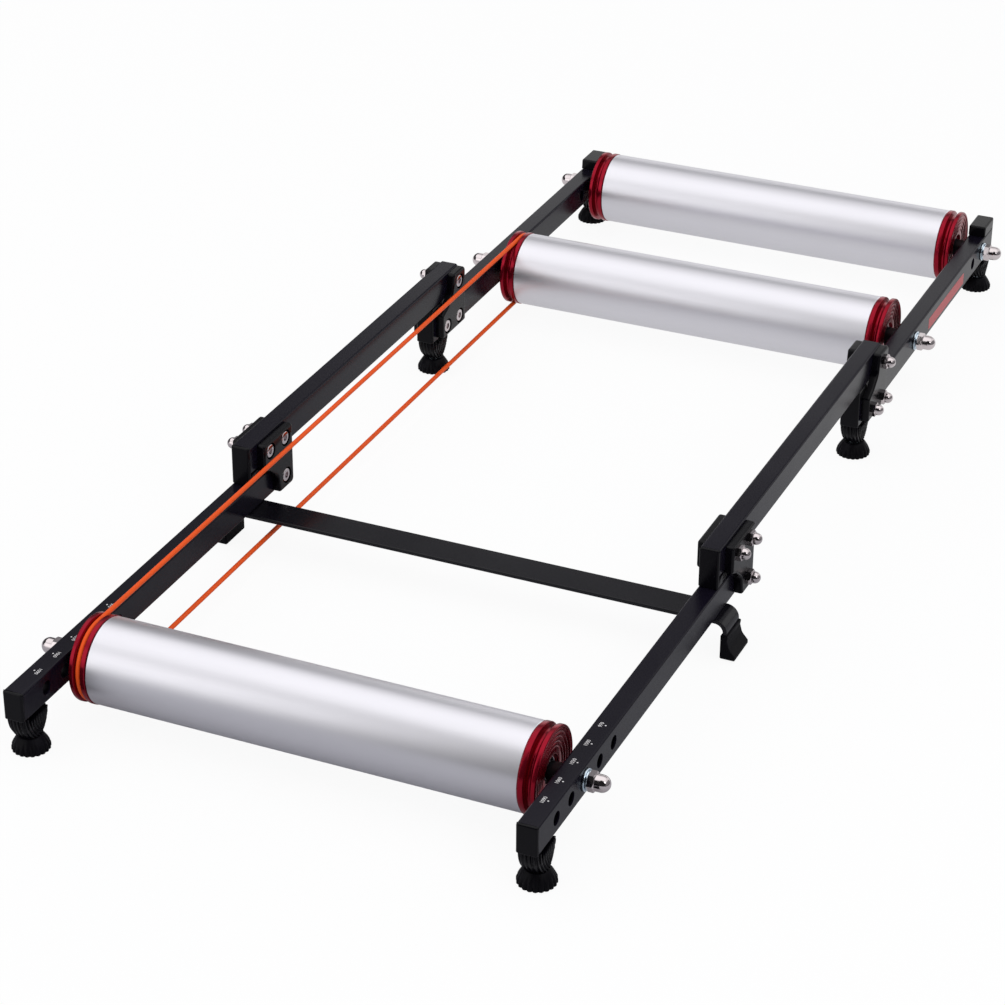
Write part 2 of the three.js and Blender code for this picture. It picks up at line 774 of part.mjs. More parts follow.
// The round belt: half a turn round each axle and a straight run between them
function beltSolid() {
  const arcSteps = 12;
  const sides = 6;
  const stations = [];
  const addArc = (y, from) => {
    for (let i = 0; i <= arcSteps; i += 1) {
      const angle = from + (i / arcSteps) * Math.PI;
      stations.push({ y, out: new THREE.Vector3(0, Math.cos(angle), Math.sin(angle)) });
    }
  };
  addArc(frontAxleY, Math.PI / 2);
  addArc(middleAxleY, -Math.PI / 2);
  const radius = beltDiameter / 2;
  const rings = stations.map(({ y, out }) => {
    const ring = [];
    for (let i = 0; i < sides; i += 1) {
      const angle = (i / sides) * 2 * Math.PI;
      const point = new THREE.Vector3(radius * Math.sin(angle), y, 0);
      ring.push(point.addScaledVector(out, beltLoopRadius + radius * Math.cos(angle)));
    }
    return ring;
  });
  return loft(rings, true);
}

// Assembly: one group for each folding section, inside a group that centres all
const rollers = new THREE.Group();
rollers.position.set(0, -(frontFaceY + rearFaceY) / 2, 0);
const frontSection = new THREE.Group();
const middleSection = new THREE.Group();
const rearSection = new THREE.Group();
rollers.add(frontSection, middleSection, rearSection);
const sides = [{ side: 'left', facing: -1 }, { side: 'right', facing: 1 }];

function addFrontSection() {
  const ends = [frontFaceY + capFace, frontPivotY + railPastPivot];
  const holes = [boltHole(frontPivotY)];
  for (let i = 0; i < holeCount; i += 1) {
    holes.push(axleHole(firstHoleY + i * holeStep));
  }
  const foot = { setback: frontFootSetback, footTop: footPadHeight };
  for (const { side, facing } of sides) {
    const x = facing * railSide;
    addPiece(frontSection, `front_rail_${side}`, railSolid(ends, holes, true), railPaint,
      x, 0, lowRailZ);
    addPiece(frontSection, `front_end_cap_${side}`, endCapSolid({ foot }), mouldedNylon,
      x, ends[0], lowRailZ);
    addPiece(frontSection, `front_foot_${side}`, footSolid(0), footRubber, x, 0, 0);
  }
  const barY = frontPivotY - barAheadPivot;
  const bar = alongY(barOutline(), [-barWidth / 2, barWidth / 2], 5);
  addPiece(frontSection, 'cross_bar', bar, railPaint, 0, barY, 0);
  for (const { side, facing } of sides) {
    const x = facing * (railSide + half.x + barLegOut);
    addPiece(frontSection, `cross_bar_shoe_${side}`, shoeSolid(facing), footRubber, x, barY, 0);
  }
}

function addMiddleSection() {
  const ends = [frontPivotY - middleCapReach + capFace, rearPivotY + railPastPivot];
  const holes = [
    boltHole(frontPivotY), boltHole(frontPivotY - boltSpacing), boltHole(rearPivotY),
  ];
  const stop = { drop: railBetween - seatGap, depth: stopDepth, slotted: true };
  for (const { side, facing } of sides) {
    const x = facing * railSide;
    addPiece(middleSection, `middle_rail_${side}`, railSolid(ends, holes, true), railPaint,
      x, 0, highRailZ);
    addPiece(middleSection, `middle_stop_cap_${side}`, endCapSolid(stop), mouldedNylon,
      x, ends[0], highRailZ);
  }
}

function addRearSection() {
  const ends = [rearPivotY - rearCapReach + capFace, rearFaceY - capFace];
  const holes = [
    boltHole(rearPivotY), boltHole(rearPivotY - boltSpacing),
    axleHole(middleAxleY), axleHole(rearAxleY), axleHole(rearAxleY - spareHoleAhead),
  ];
  const raise = railBetween - seatGap;
  const footTop = footPadHeight + collarShown;
  const middleFoot = { setback: middleFootSetback, footTop };
  const rearFoot = { setback: rearFootSetback, footTop };
  for (const { side, facing } of sides) {
    const x = facing * railSide;
    addPiece(rearSection, `rear_rail_${side}`, railSolid(ends, holes, false), railPaint,
      x, 0, lowRailZ);
    const stopCap = endCapSolid({ raise, depth: stopDepth, foot: middleFoot });
    addPiece(rearSection, `rear_stop_cap_${side}`, stopCap, mouldedNylon, x, ends[0], lowRailZ);
    const restCap = endCapSolid({ raise, depth: restDepth, foot: rearFoot }).rotate([0, 0, 180]);
    addPiece(rearSection, `rear_end_cap_${side}`, restCap, mouldedNylon, x, ends[1], lowRailZ);
    addPiece(rearSection, `middle_foot_${side}`, footSolid(collarShown), footRubber,
      x, middleFootY, 0);
    addPiece(rearSection, `rear_foot_${side}`, footSolid(collarShown), footRubber,
      x, rearFootY, 0);
  }
}

// The front hinge's plates hang from the middle rails, and the rear hinge's
// plates stand on the rear rails
function addHinge(parent, name, pivotY, pivotZ, upright) {
  for (const { side, facing } of sides) {
    const inner = facing * (railSide - plateSeat);
    const outer = facing * (railSide + plateSeat);
    addPiece(parent, `${name}_hinge_inner_${side}`, innerPlateSolid(upright, -facing),
      mouldedNylon, inner, pivotY, pivotZ);
    addPiece(parent, `${name}_hinge_outer_${side}`, outerPlateSolid(upright, facing),
      mouldedNylon, outer, pivotY, pivotZ);
    const bolt = boltSolid(facing, plateThickness + seatGap, pivotBolt.along, pivotBolt.up);
    addPiece(parent, `${name}_pivot_bolt_${side}`, bolt, chromePlate, outer, pivotY, pivotZ);
  }
}

function addRoller(parent, name, axleY) {
  addPiece(parent, `${name}_roller_tube`, tubeSolid(), satinAluminium, 0, axleY, lowRailZ);
  addPiece(parent, `${name}_axle`, axleSolid(), bearingSteel, 0, axleY, lowRailZ);
  const bearingX = capFaceX - bearingInset - bearingWidth / 2;
  const nutX = railSide + plateSeat;
  for (const { side, facing } of sides) {
    const cap = facing > 0 ? rollerCapSolid() : rollerCapSolid().rotate([0, 0, 180]);
    addPiece(parent, `${name}_roller_cap_${side}`, cap, redAnodised,
      facing * tubeLength / 2, axleY, lowRailZ);
    const bearing = facing > 0 ? bearingSolid() : bearingSolid().rotate([0, 0, 180]);
    addPiece(parent, `${name}_bearing_${side}`, bearing, bearingSteel,
      facing * bearingX, axleY, lowRailZ);
    addPiece(parent, `${name}_axle_nut_${side}`, axleNutSolid(facing), chromePlate,
      facing * nutX, axleY, lowRailZ);
  }
}

addFrontSection();
addMiddleSection();
addRearSection();
addHinge(middleSection, 'front', frontPivotY, lowRailZ, 1);
addHinge(rearSection, 'rear', rearPivotY, highRailZ, -1);
addRoller(frontSection, 'front', frontAxleY);
addRoller(rearSection, 'middle', middleAxleY);
addRoller(rearSection, 'rear', rearAxleY);
const grooveX = tubeLength / 2 + grooveInset + grooveMouthWidth / 2;
addPiece(middleSection, 'drive_belt', beltSolid(), beltUrethane, -grooveX, 0, lowRailZ);

export default rollers;
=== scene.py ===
"""Looks of the folding bicycle rollers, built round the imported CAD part.

Sizes are in millimetres, and places along the frame are counted from the front
feet, the way the object was measured. A mesh becomes metres, in the part's own
frame, at the moment it turns into a Blender object.
"""
import logging
import math
from dataclasses import dataclass
from enum import Enum
from functools import reduce
from typing import Any, Sequence

import bmesh
import bpy
import numpy as np
from mathutils import Matrix, Vector
from mathutils.geometry import tessellate_polygon


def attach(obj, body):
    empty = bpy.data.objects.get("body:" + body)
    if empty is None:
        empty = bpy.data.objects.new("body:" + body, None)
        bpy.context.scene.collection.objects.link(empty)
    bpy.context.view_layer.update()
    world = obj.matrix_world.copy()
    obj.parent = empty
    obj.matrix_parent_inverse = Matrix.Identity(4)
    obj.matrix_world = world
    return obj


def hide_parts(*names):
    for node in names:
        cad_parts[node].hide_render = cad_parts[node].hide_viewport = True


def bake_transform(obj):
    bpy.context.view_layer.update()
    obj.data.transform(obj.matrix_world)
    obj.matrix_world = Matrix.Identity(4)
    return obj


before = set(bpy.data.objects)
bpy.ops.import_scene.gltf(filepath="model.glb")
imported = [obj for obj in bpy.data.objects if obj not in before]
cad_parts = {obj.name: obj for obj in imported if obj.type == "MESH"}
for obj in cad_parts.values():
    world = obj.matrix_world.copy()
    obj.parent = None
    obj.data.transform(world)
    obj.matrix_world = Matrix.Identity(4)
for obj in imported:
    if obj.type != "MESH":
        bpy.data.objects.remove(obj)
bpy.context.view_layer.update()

log = logging.getLogger("rollers")

Colour = tuple[float, float, float, float]
Place = tuple[float, float, float]
Size = tuple[float, float]

METRES = 0.001
FRONT_FEET_Y = 625.75
WELD = 1e-7
CONE_FALL = 1.7
HALF_TURN = math.pi
QUARTER_TURN = math.pi / 2


class Side(Enum):
    """The two sides of the frame, each with the way along X that it faces."""

    LEFT = -1
    RIGHT = 1

    @property
    def label(self) -> str:
        """The side's name in the names of pieces."""
        return self.name.lower()


class Section(Enum):
    """The three folding sections and the bodies that carry them."""

    FRONT = "front_frame"
    MIDDLE = "middle_frame"
    REAR = "rear_frame"

    @property
    def label(self) -> str:
        """The section's name in the names of pieces."""
        return self.name.lower()


@dataclass(frozen=True)
class Layout:
    """Places that more than one sub-assembly uses, in millimetres."""

    rail_side: float = 235.0
    half_width: float = 9.5
    half_height: float = 14.0
    low_rail: float = 53.0
    high_rail: float = 93.0
    block_reach: float = 11.7
    front_face: float = -22.5
    rear_face: float = 1274.0
    front_pivot: float = 440.0
    rear_pivot: float = 838.0
    front_axle: float = 76.0
    middle_axle: float = 979.0
    rear_axle: float = 1233.0
    middle_foot: float = 808.0
    rear_foot: float = 1253.0
    middle_cap_reach: float = 59.5
    rear_cap_reach: float = 52.0
    cap_face: float = 3.0
    plate_seat: float = 9.8
    gap: float = 0.3

    @property
    def front_end(self) -> float:
        """Where the front rails begin, behind their caps."""
        return self.front_face + self.cap_face

    @property
    def middle_end(self) -> float:
        """Where the middle rails begin, behind their stop caps."""
        return self.front_pivot - self.middle_cap_reach + self.cap_face

    @property
    def rear_end(self) -> float:
        """Where the rear rails begin, behind their stop caps."""
        return self.rear_pivot - self.rear_cap_reach + self.cap_face

    @property
    def last_end(self) -> float:
        """Where the rear rails end, before their caps."""
        return self.rear_face - self.cap_face

    @property
    def axles(self) -> list[tuple[str, Section, float]]:
        """The three rollers' axles, from the front.

        Returns:
            Each roller's name, its section and the place of its axle.
        """
        return [
            ("front", Section.FRONT, self.front_axle),
            ("middle", Section.REAR, self.middle_axle),
            ("rear", Section.REAR, self.rear_axle),
        ]


LAYOUT = Layout()


# Shader maths


class Value:
    """A shader socket that takes part in Python arithmetic."""

    def __init__(self, graph: "Graph", socket: Any) -> None:
        """Keeps the socket and the graph that its maths nodes go into."""
        self.graph = graph
        self.socket = socket

    def maths(self, operation: str, *terms: Any, clamp: bool = False) -> "Value":
        """Adds one Math node.

        Args:
            operation: the node's operation.
            terms: its inputs in order, numbers or values.
            clamp: whether the result is held between 0 and 1.

        Returns:
            The node's result.
        """
        settings = {"operation": operation, "use_clamp": clamp}
        return self.graph.node("ShaderNodeMath", settings, dict(enumerate(terms))).out()

    def __add__(self, other: Any) -> "Value":
        """This plus another."""
        return self.maths("ADD", self, other)

    def __sub__(self, other: Any) -> "Value":
        """This less another."""
        return self.maths("SUBTRACT", self, other)

    def __rsub__(self, other: Any) -> "Value":
        """Another less this."""
        return self.maths("SUBTRACT", other, self)

    def __mul__(self, other: Any) -> "Value":
        """This times another."""
        return self.maths("MULTIPLY", self, other)

    __radd__ = __add__
    __rmul__ = __mul__

    def between(self, low: float, high: float) -> "Value":
        """This value's place between two limits, from 0 to 1."""
        span = 1.0 / (high - low)
        return self.maths("MULTIPLY_ADD", self, span, -low * span, clamp=True)


class Node:
    """A shader node with its outputs by name."""

    def __init__(self, graph: "Graph", node: Any) -> None:
        """Keeps the node and its graph."""
        self.graph = graph
        self.node = node

    def out(self, name: Any = 0) -> Value:
        """One of the node's outputs."""
        return Value(self.graph, self.node.outputs[name])


class Graph:
    """The node tree of one material or world."""

    def __init__(self, owner: Any) -> None:
        """Gives a material or world an empty tree.

        Args:
            owner: the material or world.
        """
        owner.use_nodes = True
        self.tree = owner.node_tree
        self.tree.nodes.clear()

    def node(self, kind: str, settings: dict[str, Any], inputs: dict[Any, Any]) -> Node:
        """Adds a node.

        Args:
            kind: the node's type.
            settings: its properties, set before its inputs; "stops" are a ramp's
                pairs of position and colour.
            inputs: the value or link of each socket, by name or number.

        Returns:
            The node.
        """
        made = self.tree.nodes.new(kind)
        for name, value in settings.items():
            if name == "stops":
                ramp = made.color_ramp
                while len(ramp.elements) < len(value):
                    ramp.elements.new(1.0)
                for element, (position, colour) in zip(ramp.elements, value):
                    element.position = position
                    element.color = colour
            else:
                setattr(made, name, value)
        for name, value in inputs.items():
            if isinstance(value, Value):
                self.tree.links.new(value.socket, made.inputs[name])
            else:
                made.inputs[name].default_value = value
        return Node(self, made)

    def place(self, stretch: Place = (1, 1, 1)) -> Value:
        """The point on the piece in metres, stretched along each axis."""
        point = self.node("ShaderNodeTexCoord", {}, {}).out("Object")
        return self.node("ShaderNodeMapping", {}, {"Vector": point, "Scale": stretch}).out()

    def noise(self, scale: float, detail: float = 3.0, stretch: Place = (1, 1, 1)) -> Value:
        """Cloudy noise from 0 to 1, scale features to the metre."""
        inputs = {"Vector": self.place(stretch), "Scale": scale, "Detail": detail}
        return self.node("ShaderNodeTexNoise", {}, inputs).out("Fac")

    def mixed(self, share: Any, first: Any, second: Any) -> Value:
        """Two colours mixed, from the first at 0 to the second at 1."""
        settings = {"data_type": "RGBA", "clamp_factor": True}
        return self.node("ShaderNodeMix", settings, {0: share, 6: first, 7: second}).out(2)

    def bump(self, height: Value, distance: float) -> Value:
        """A normal raised by height times distance, in metres."""
        inputs = {"Height": height, "Distance": distance, "Strength": 1.0}
        return self.node("ShaderNodeBump", {}, inputs).out("Normal")

    def blended(self, share: Value, first: Node, second: Node) -> Value:
        """Two shaders mixed, from the first at 0 to the second at 1."""
        inputs = {0: share, 1: first.out(), 2: second.out()}
        return self.node("ShaderNodeMixShader", {}, inputs).out()

    def surface(self, shader: Value, kind: str = "Material") -> None:
        """Ends the tree with the output of a material or world."""
        self.node(f"ShaderNodeOutput{kind}", {}, {"Surface": shader})


def colour4(colour: Sequence[float], gain: float = 1.0) -> tuple[float, ...]:
    """A colour with its brightness changed and an alpha of 1."""
    return (*(min(1.0, part * gain) for part in colour), 1.0)


@dataclass(frozen=True)
class Finish:
    """A finish: its slot, and the sockets that are even over the piece.

    The colour varies between two gains, tint, the roughness by sway, and the
    finest marks are relief metres high.
    """

    name: str
    slot: str
    colour: tuple[float, float, float]
    roughness: float
    metallic: float = 0.0
    specular: float = 0.5
    ior: float = 1.5
    tint: tuple[float, float] = (0.8, 1.0)
    sway: float = 0.12
    relief: float = 0.00002

    def tinted(self, graph: Graph, share: Value) -> Value:
        """The colour between its two gains, by a share from 0 to 1."""
        low, high = (colour4(self.colour, gain) for gain in self.tint)
        return graph.mixed(share, low, high)

    def varied(self, graph: Graph, share: Value, dull: Value, marks: Value) -> dict[str, Any]:
        """What changes over a surface that has clouds and marks.

        Args:
            graph: the material's nodes.
            share: where the colour lies between its two gains.
            dull: how much of its sway the roughness gains.
            marks: the height of the marks, from 0 to 1.

        Returns:
            The values by the shader's socket.
        """
        return {
            "Base Color": self.tinted(graph, share),
            "Roughness": self.roughness + dull * self.sway,
            "Normal": graph.bump(marks, self.relief),
        }

    def detail(self, graph: Graph) -> dict[str, Any]:
        """What changes over the surface, by the shader's socket."""
        return {}

    def material(self) -> Any:
        """The Blender material, made once for each name.

        Returns:
            The material.
        """
        title = f"{self.name}_finish"
        known = bpy.data.materials.get(title)
        if known:
            return known
        made = bpy.data.materials.new(title)
        graph = Graph(made)
        inputs = {
            "Base Color": colour4(self.colour),
            "Roughness": self.roughness,
            "Metallic": self.metallic,
            "Specular IOR Level": self.specular,
            "IOR": self.ior,
        }
        inputs.update(self.detail(graph))
        graph.surface(graph.node("ShaderNodeBsdfPrincipled", {}, inputs).out())
        return made


@dataclass(frozen=True)
class GlossPaint(Finish):
    """Stoved gloss paint: a faint orange peel, and dust that dulls it in clouds."""

    tint: tuple[float, float] = (0.8, 1.3)
    sway: float = 0.06
    dusty: tuple[float, float] = (0.35, 0.7)

    def detail(self, graph: Graph) -> dict[str, Any]:
        """Peel in the normal, dust in the roughness and a trace of it in the colour."""
        clouds, peel = graph.noise(scale=9.0, detail=4.0), graph.noise(scale=420.0, detail=2.0)
        return self.varied(graph, clouds, clouds.between(*self.dusty), peel)


@dataclass(frozen=True)
class MouldedNylon(Finish):
    """Glass-filled nylon from a spark-eroded mould: fine even grain, faint flow marks."""

    tint: tuple[float, float] = (0.75, 1.4)
    relief: float = 0.000015

    def detail(self, graph: Graph) -> dict[str, Any]:
        """Grain in the normal, flow marks in the colour and roughness."""
        flow, grain = graph.noise(28.0, stretch=(1, 0.5, 1)), graph.noise(1500.0, detail=2.0)
        return self.varied(graph, flow, flow - 0.5, grain)


@dataclass(frozen=True)
class Rubber(Finish):
    """Moulded rubber: matt, with a fine grain and a little dust."""

    tint: tuple[float, float] = (1.0, 2.2)
    sway: float = 0.15
    relief: float = 0.00003
    dusty: tuple[float, float] = (0.5, 0.8)

    def detail(self, graph: Graph) -> dict[str, Any]:
        """Grain in the normal, dust in the colour and roughness."""
        dust, grain = graph.noise(scale=60.0, detail=4.0), graph.noise(scale=900.0)
        return self.varied(graph, dust.between(*self.dusty), dust - 0.5, grain)


@dataclass(frozen=True)
class SatinDrum(Finish):
    """Drawn and anodised aluminium: fine lengthways drawing lines, faint clouds."""

    tint: tuple[float, float] = (0.96, 1.04)
    sway: float = 0.1
    relief: float = 0.000012
    drawn: Sequence[tuple[float, Place]] = ((1400.0, (0.015, 1, 1)), (14.0, (0.3, 1, 1)))

    def detail(self, graph: Graph) -> dict[str, Any]:
        """Drawing lines in the normal and roughness, clouds in the colour."""
        lines, clouds = (graph.noise(scale, stretch=run) for scale, run in self.drawn)
        return self.varied(graph, clouds, lines - 0.5, lines)


@dataclass(frozen=True)
class RedAnodised(Finish):
    """Turned aluminium dyed red: fine turning lines and a glassy skin."""

    tint: tuple[float, float] = (0.8, 1.2)
    sway: float = 0.08
    relief: float = 0.00001

    def detail(self, graph: Graph) -> dict[str, Any]:
        """Turning lines in the normal, dye clouds in the colour and roughness."""
        lines, clouds = graph.noise(900.0, 2.0, (1, 0.02, 0.02)), graph.noise(scale=45.0)
        return self.varied(graph, clouds, clouds - 0.5, lines)


@dataclass(frozen=True)
class PlatedSteel(Finish):
    """Plated steel: a bright skin with faint ripples and a few dull marks."""

    tint: tuple[float, float] = (1.0, 0.8)
    marks: float = 180.0
    darker: tuple[float, float] = (0.5, 0.85)
    duller: tuple[float, float] = (0.5, 0.8)

    def detail(self, graph: Graph) -> dict[str, Any]:
        """Marks in the colour, roughness and normal."""
        marks = graph.noise(self.marks, detail=4.0)
        return self.varied(graph, marks.between(*self.darker), marks.between(*self.duller), marks)


@dataclass(frozen=True)
class Urethane(Finish):
    """Cast belt: smooth and slightly cloudy."""

    tint: tuple[float, float] = (0.85, 1.1)
    sway: float = 0.1
    relief: float = 0.00004

    def detail(self, graph: Graph) -> dict[str, Any]:
        """Clouds in the colour and roughness, fine grain in the normal."""
        clouds, grain = graph.noise(35.0, 4.0, (1, 0.3, 1)), graph.noise(scale=1200.0, detail=2.0)
        return self.varied(graph, clouds, clouds - 0.5, grain)


@dataclass(frozen=True)
class PrintedInk(Finish):
    """Pad-printed ink: flat, and a little thin in places."""

    def detail(self, graph: Graph) -> dict[str, Any]:
        """Thin places in the colour."""
        return {"Base Color": self.tinted(graph, graph.noise(scale=700.0))}


RAIL_PAINT = GlossPaint(
    "rail_paint", "rail_paint", (0.005, 0.004, 0.009), roughness=0.2, specular=0.3, ior=1.32
)
BAR_PAINT = GlossPaint(
    "bar_paint", "rail_paint", (0.006, 0.0055, 0.008), roughness=0.18, specular=0.34, ior=1.4
)
NYLON = MouldedNylon(
    "moulded_nylon", "moulded_nylon", (0.0017, 0.0015, 0.0027), roughness=0.24, specular=0.15
)
RUBBER = Rubber("foot_rubber", "foot_rubber", (0.0022, 0.0019, 0.0032), 0.46, specular=0.08)
DRUM = SatinDrum("drum_aluminium", "drum_aluminium", (0.725, 0.715, 0.76), 0.38, metallic=1.0)
DRUM_EDGE = SatinDrum("drum_edge", "drum_aluminium", (0.86, 0.9, 0.95), 0.18, metallic=1.0)
RED = RedAnodised("red_cap", "red_cap", (0.27, 0.005, 0.018), 0.2, metallic=0.8, specular=0.3)
STEEL = PlatedSteel("bearing_steel", "bearing_steel", (0.5, 0.5, 0.52), 0.25, metallic=1.0)
# The axle and its collars are near-black, which keeps the gap between each red cap and its rail
# dark.
DARK_AXLE = PlatedSteel("blackened_steel", "bearing_steel", (0.02, 0.02, 0.023), 0.3, metallic=0.7)
# The pinkish tint of the chrome's colour is a painted reflection.
CHROME = PlatedSteel("plated_steel", "plated_steel", (0.64, 0.58, 0.59), 0.05, metallic=1.0)
ZINC = PlatedSteel("zinc_washer", "plated_steel", (0.66, 0.76, 0.84), 0.2, metallic=1.0, marks=90.0)
BELT = Urethane("belt_urethane", "belt_urethane", (0.97, 0.11, 0.016), 0.4, specular=0.12)
INK = PrintedInk("scale_ink", "rail_paint", (0.9, 0.88, 0.88), 0.5)
STRIPE_RED = PrintedInk("stripe_ink", "rail_paint", (0.62, 0.06, 0.07), 0.4)


# Surfaces


@dataclass
class Shell:
    """A closed surface: points in millimetres, and faces as rows of points."""

    points: np.ndarray
    faces: list[Sequence[int]]

    def __add__(self, other: "Shell") -> "Shell":
        """Both surfaces in one."""
        moved = [[len(self.points) + k for k in face] for face in other.faces]
        return Shell(np.vstack([self.points, other.points]), [*self.faces, *moved])

    def moved(self, x: float = 0.0, y: float = 0.0, z: float = 0.0) -> "Shell":
        """The surface at another place."""
        return Shell(self.points + (x, y, z), self.faces)

    def placed(self, directions: Sequence[Sequence[float]]) -> "Shell":
        """The surface with its u, v and w axes laid along three directions."""
        return Shell(self.points @ np.asarray(directions, float), self.faces)

    def scaled(self, x: float = 1.0, y: float = 1.0, z: float = 1.0) -> "Shell":
        """The surface mirrored where a factor is -1."""
        return Shell(self.points * (x, y, z), self.faces)


SEEN_FROM_SIDE = ((0, 1, 0), (0, 0, 1), (1, 0, 0))
SEEN_FROM_FRONT = ((1, 0, 0), (0, 0, 1), (0, 1, 0))


def skin(rows: np.ndarray, wrap_rows: bool = False) -> Shell:
    """A grid of points skinned with four-sided faces.

    Args:
        rows: points by row and column; each row is a closed ring.
        wrap_rows: whether the last row joins the first.

    Returns:
        The surface.
    """
    n, m = rows.shape[:2]
    a, b = np.meshgrid(np.arange(n if wrap_rows else n - 1), np.arange(m), indexing="ij")
    a1, b1 = (a + 1) % n, (b + 1) % m
    quads = np.stack([a * m + b, a1 * m + b, a1 * m + b1, a * m + b1], -1)
    return Shell(rows.reshape(-1, 3), quads.reshape(-1, 4).tolist())


def grid(x: Any, y: Any, z: Any) -> np.ndarray:
    """Points from three arrays, each spread over the rows and columns of the others."""
    return np.stack(np.broadcast_arrays(x, y, z), -1)


def ring_angles(sides: int) -> np.ndarray:
    """Even angles once round a circle."""
    return np.arange(sides) * (2 * math.pi / sides)


def turned(profile: Any, sides: int = 64) -> Shell:
    """A profile turned about X: a point goes to (along, radius cos t, radius sin t).

    Args:
        profile: rows of distance along X and radius. It is closed by its axis
            where it starts and ends at radius 0, or else by joining its ends.
        sides: faces round the circle.

    Returns:
        The closed surface.
    """
    along, radius = np.asarray(profile, float).T[..., None]
    angle = ring_angles(sides)
    rows = grid(along, radius * np.cos(angle), radius * np.sin(angle))
    return skin(rows, wrap_rows=radius[0, 0] > 0)


def filleted(corners: Any, steps: int = 5) -> tuple[np.ndarray, np.ndarray]:
    """A closed polygon with an arc at each corner.

    The arc of radius r starts r tan(turn / 2) before the corner and turns about
    a centre square to the side it leaves.

    Args:
        corners: rows of u, v, radius and rounding weight.
        steps: spans in each arc.

    Returns:
        The outline's points, and the rounding weight of each.
    """
    table = np.asarray(corners, float)
    here, radius, weight = table[:, :2], table[:, 2], table[:, 3]
    before = here - np.roll(here, 1, 0)
    after = np.roll(here, -1, 0) - here
    before /= np.linalg.norm(before, axis=1)[:, None]
    after /= np.linalg.norm(after, axis=1)[:, None]
    cross = before[:, 0] * after[:, 1] - before[:, 1] * after[:, 0]
    turn = np.arctan2(cross, (before * after).sum(1))
    start = here - before * (radius * np.tan(np.abs(turn) / 2))[:, None]
    spoke = np.stack([before[:, 1], -before[:, 0]], -1) * (radius * np.sign(turn))[:, None]
    angle = turn[:, None] * np.linspace(0, 1, steps + 1)
    cos, sin = np.cos(angle)[..., None], np.sin(angle)[..., None]
    square = np.stack([-spoke[:, 1], spoke[:, 0]], -1)
    arcs = (start - spoke)[:, None] + spoke[:, None] * cos + square[:, None] * sin
    points = arcs.reshape(-1, 2)
    weights = np.repeat(weight, steps + 1)
    keep = np.linalg.norm(points - np.roll(points, 1, 0), axis=1) > 1e-6
    return points[keep], weights[keep]


def inward(outline: np.ndarray) -> np.ndarray:
    """The step at each point of a closed outline that moves both its sides in by 1.

    It is the sum of the two sides' normals, times 2 over its own length squared.

    Args:
        outline: the points in order, either way round.

    Returns:
        The steps.
    """
    edge = np.roll(outline, -1, 0) - outline
    edge /= np.linalg.norm(edge, axis=1)[:, None]
    x, y = outline.T
    area = (x * np.roll(y, -1) - y * np.roll(x, -1)).sum()
    normal = np.stack([-edge[:, 1], edge[:, 0]], -1) * np.sign(area)
    both = normal + np.roll(normal, 1, 0)
    return both * (2 / (both**2).sum(1))[:, None]


@dataclass(frozen=True)
class Opening:
    """A hole or pocket in a moulding: rings of points from its mouth inwards."""

    rings: np.ndarray
    through: bool = True

    @classmethod
    def bored(cls, u: float, v: float, profile: Any, sides: int = 40) -> "Opening":
        """A round hole through a moulding.

        Args:
            u, v: its centre.
            profile: rows of radius and depth w, from its mouth inwards.
            sides: points round it.

        Returns:
            The opening.
        """
        radius, depth = np.asarray(profile, float).T[..., None]
        angle = ring_angles(sides)
        return cls(grid(u + radius * np.cos(angle), v + radius * np.sin(angle), depth))

    @classmethod
    def sunk(cls, outline: np.ndarray, mouth: float, floor: float) -> "Opening":
        """A blind pocket of any outline, from w at its mouth to w at its floor."""
        rings = np.stack([np.insert(outline, 2, w, 1) for w in (mouth, floor)])
        return cls(rings, False)


def filled(points: np.ndarray, loops: Sequence[Sequence[int]]) -> list[list[int]]:
    """Triangles that fill a flat loop of points round holes.

    Args:
        points: the surface's points, the third of each the same along the loops.
        loops: the numbers of the points round the outside and round each hole.

    Returns:
        The triangles.
    """
    numbers = [k for loop in loops for k in loop]
    flat = [[Vector(points[k]) for k in loop] for loop in loops]
    return [[numbers[k] for k in face] for face in tessellate_polygon(flat)]


def moulding(
    shape: tuple[np.ndarray, np.ndarray],
    depth: tuple[float, float],
    near: float = 0.0,
    far: float = 0.0,
    openings: Sequence[Opening] = (),
    near_openings: Sequence[Opening] = (),
    steps: int = 4,
) -> Shell:
    """An outline drawn out along w, its end edges rounded and its ends filled.

    Round an end edge, at angle t, the outline lies in by r (1 - cos t) and short
    of the end by r (1 - sin t), each point times its own rounding weight.

    Args:
        shape: the outline's points, and the rounding weight of each.
        depth: w at the near end and at the far end.
        near: rounding radius at the near end.
        far: rounding radius at the far end.
        openings: holes and pockets whose mouths are in the far end.
        near_openings: pockets whose mouths are in the near end.
        steps: spans round an edge.

    Returns:
        The closed surface, in u, v and w.
    """
    outline, weight = shape
    step = inward(outline)
    rows = []
    for end, radius, sign in ((depth[0], near, 1), (depth[1], far, -1)):
        angle = np.linspace(0, QUARTER_TURN, steps + 1) if radius else np.array([QUARTER_TURN])
        if sign > 0:
            angle = angle[::-1]
        inset = radius * (1 - np.cos(angle))[:, None] * weight
        level = end + sign * radius * (1 - np.sin(angle))[:, None] * weight
        rows.append(np.concatenate([outline + inset[..., None] * step, level[..., None]], -1))
    body = skin(np.concatenate(rows))
    count, total = len(outline), len(body.points)
    near_loops, far_loops = [range(count)], [range(total - count, total)]
    mouths = [(o, far_loops) for o in openings] + [(o, near_loops) for o in near_openings]
    for opening, loops in mouths:
        start, size = len(body.points), opening.rings.shape[1]
        body = body + skin(opening.rings)
        last = range(len(body.points) - size, len(body.points))
        loops.append(range(start, start + size))
        if opening.through:
            near_loops.append(last)
        else:
            body.faces.append(list(last))
    body.faces += filled(body.points, near_loops) + filled(body.points, far_loops)
    return body


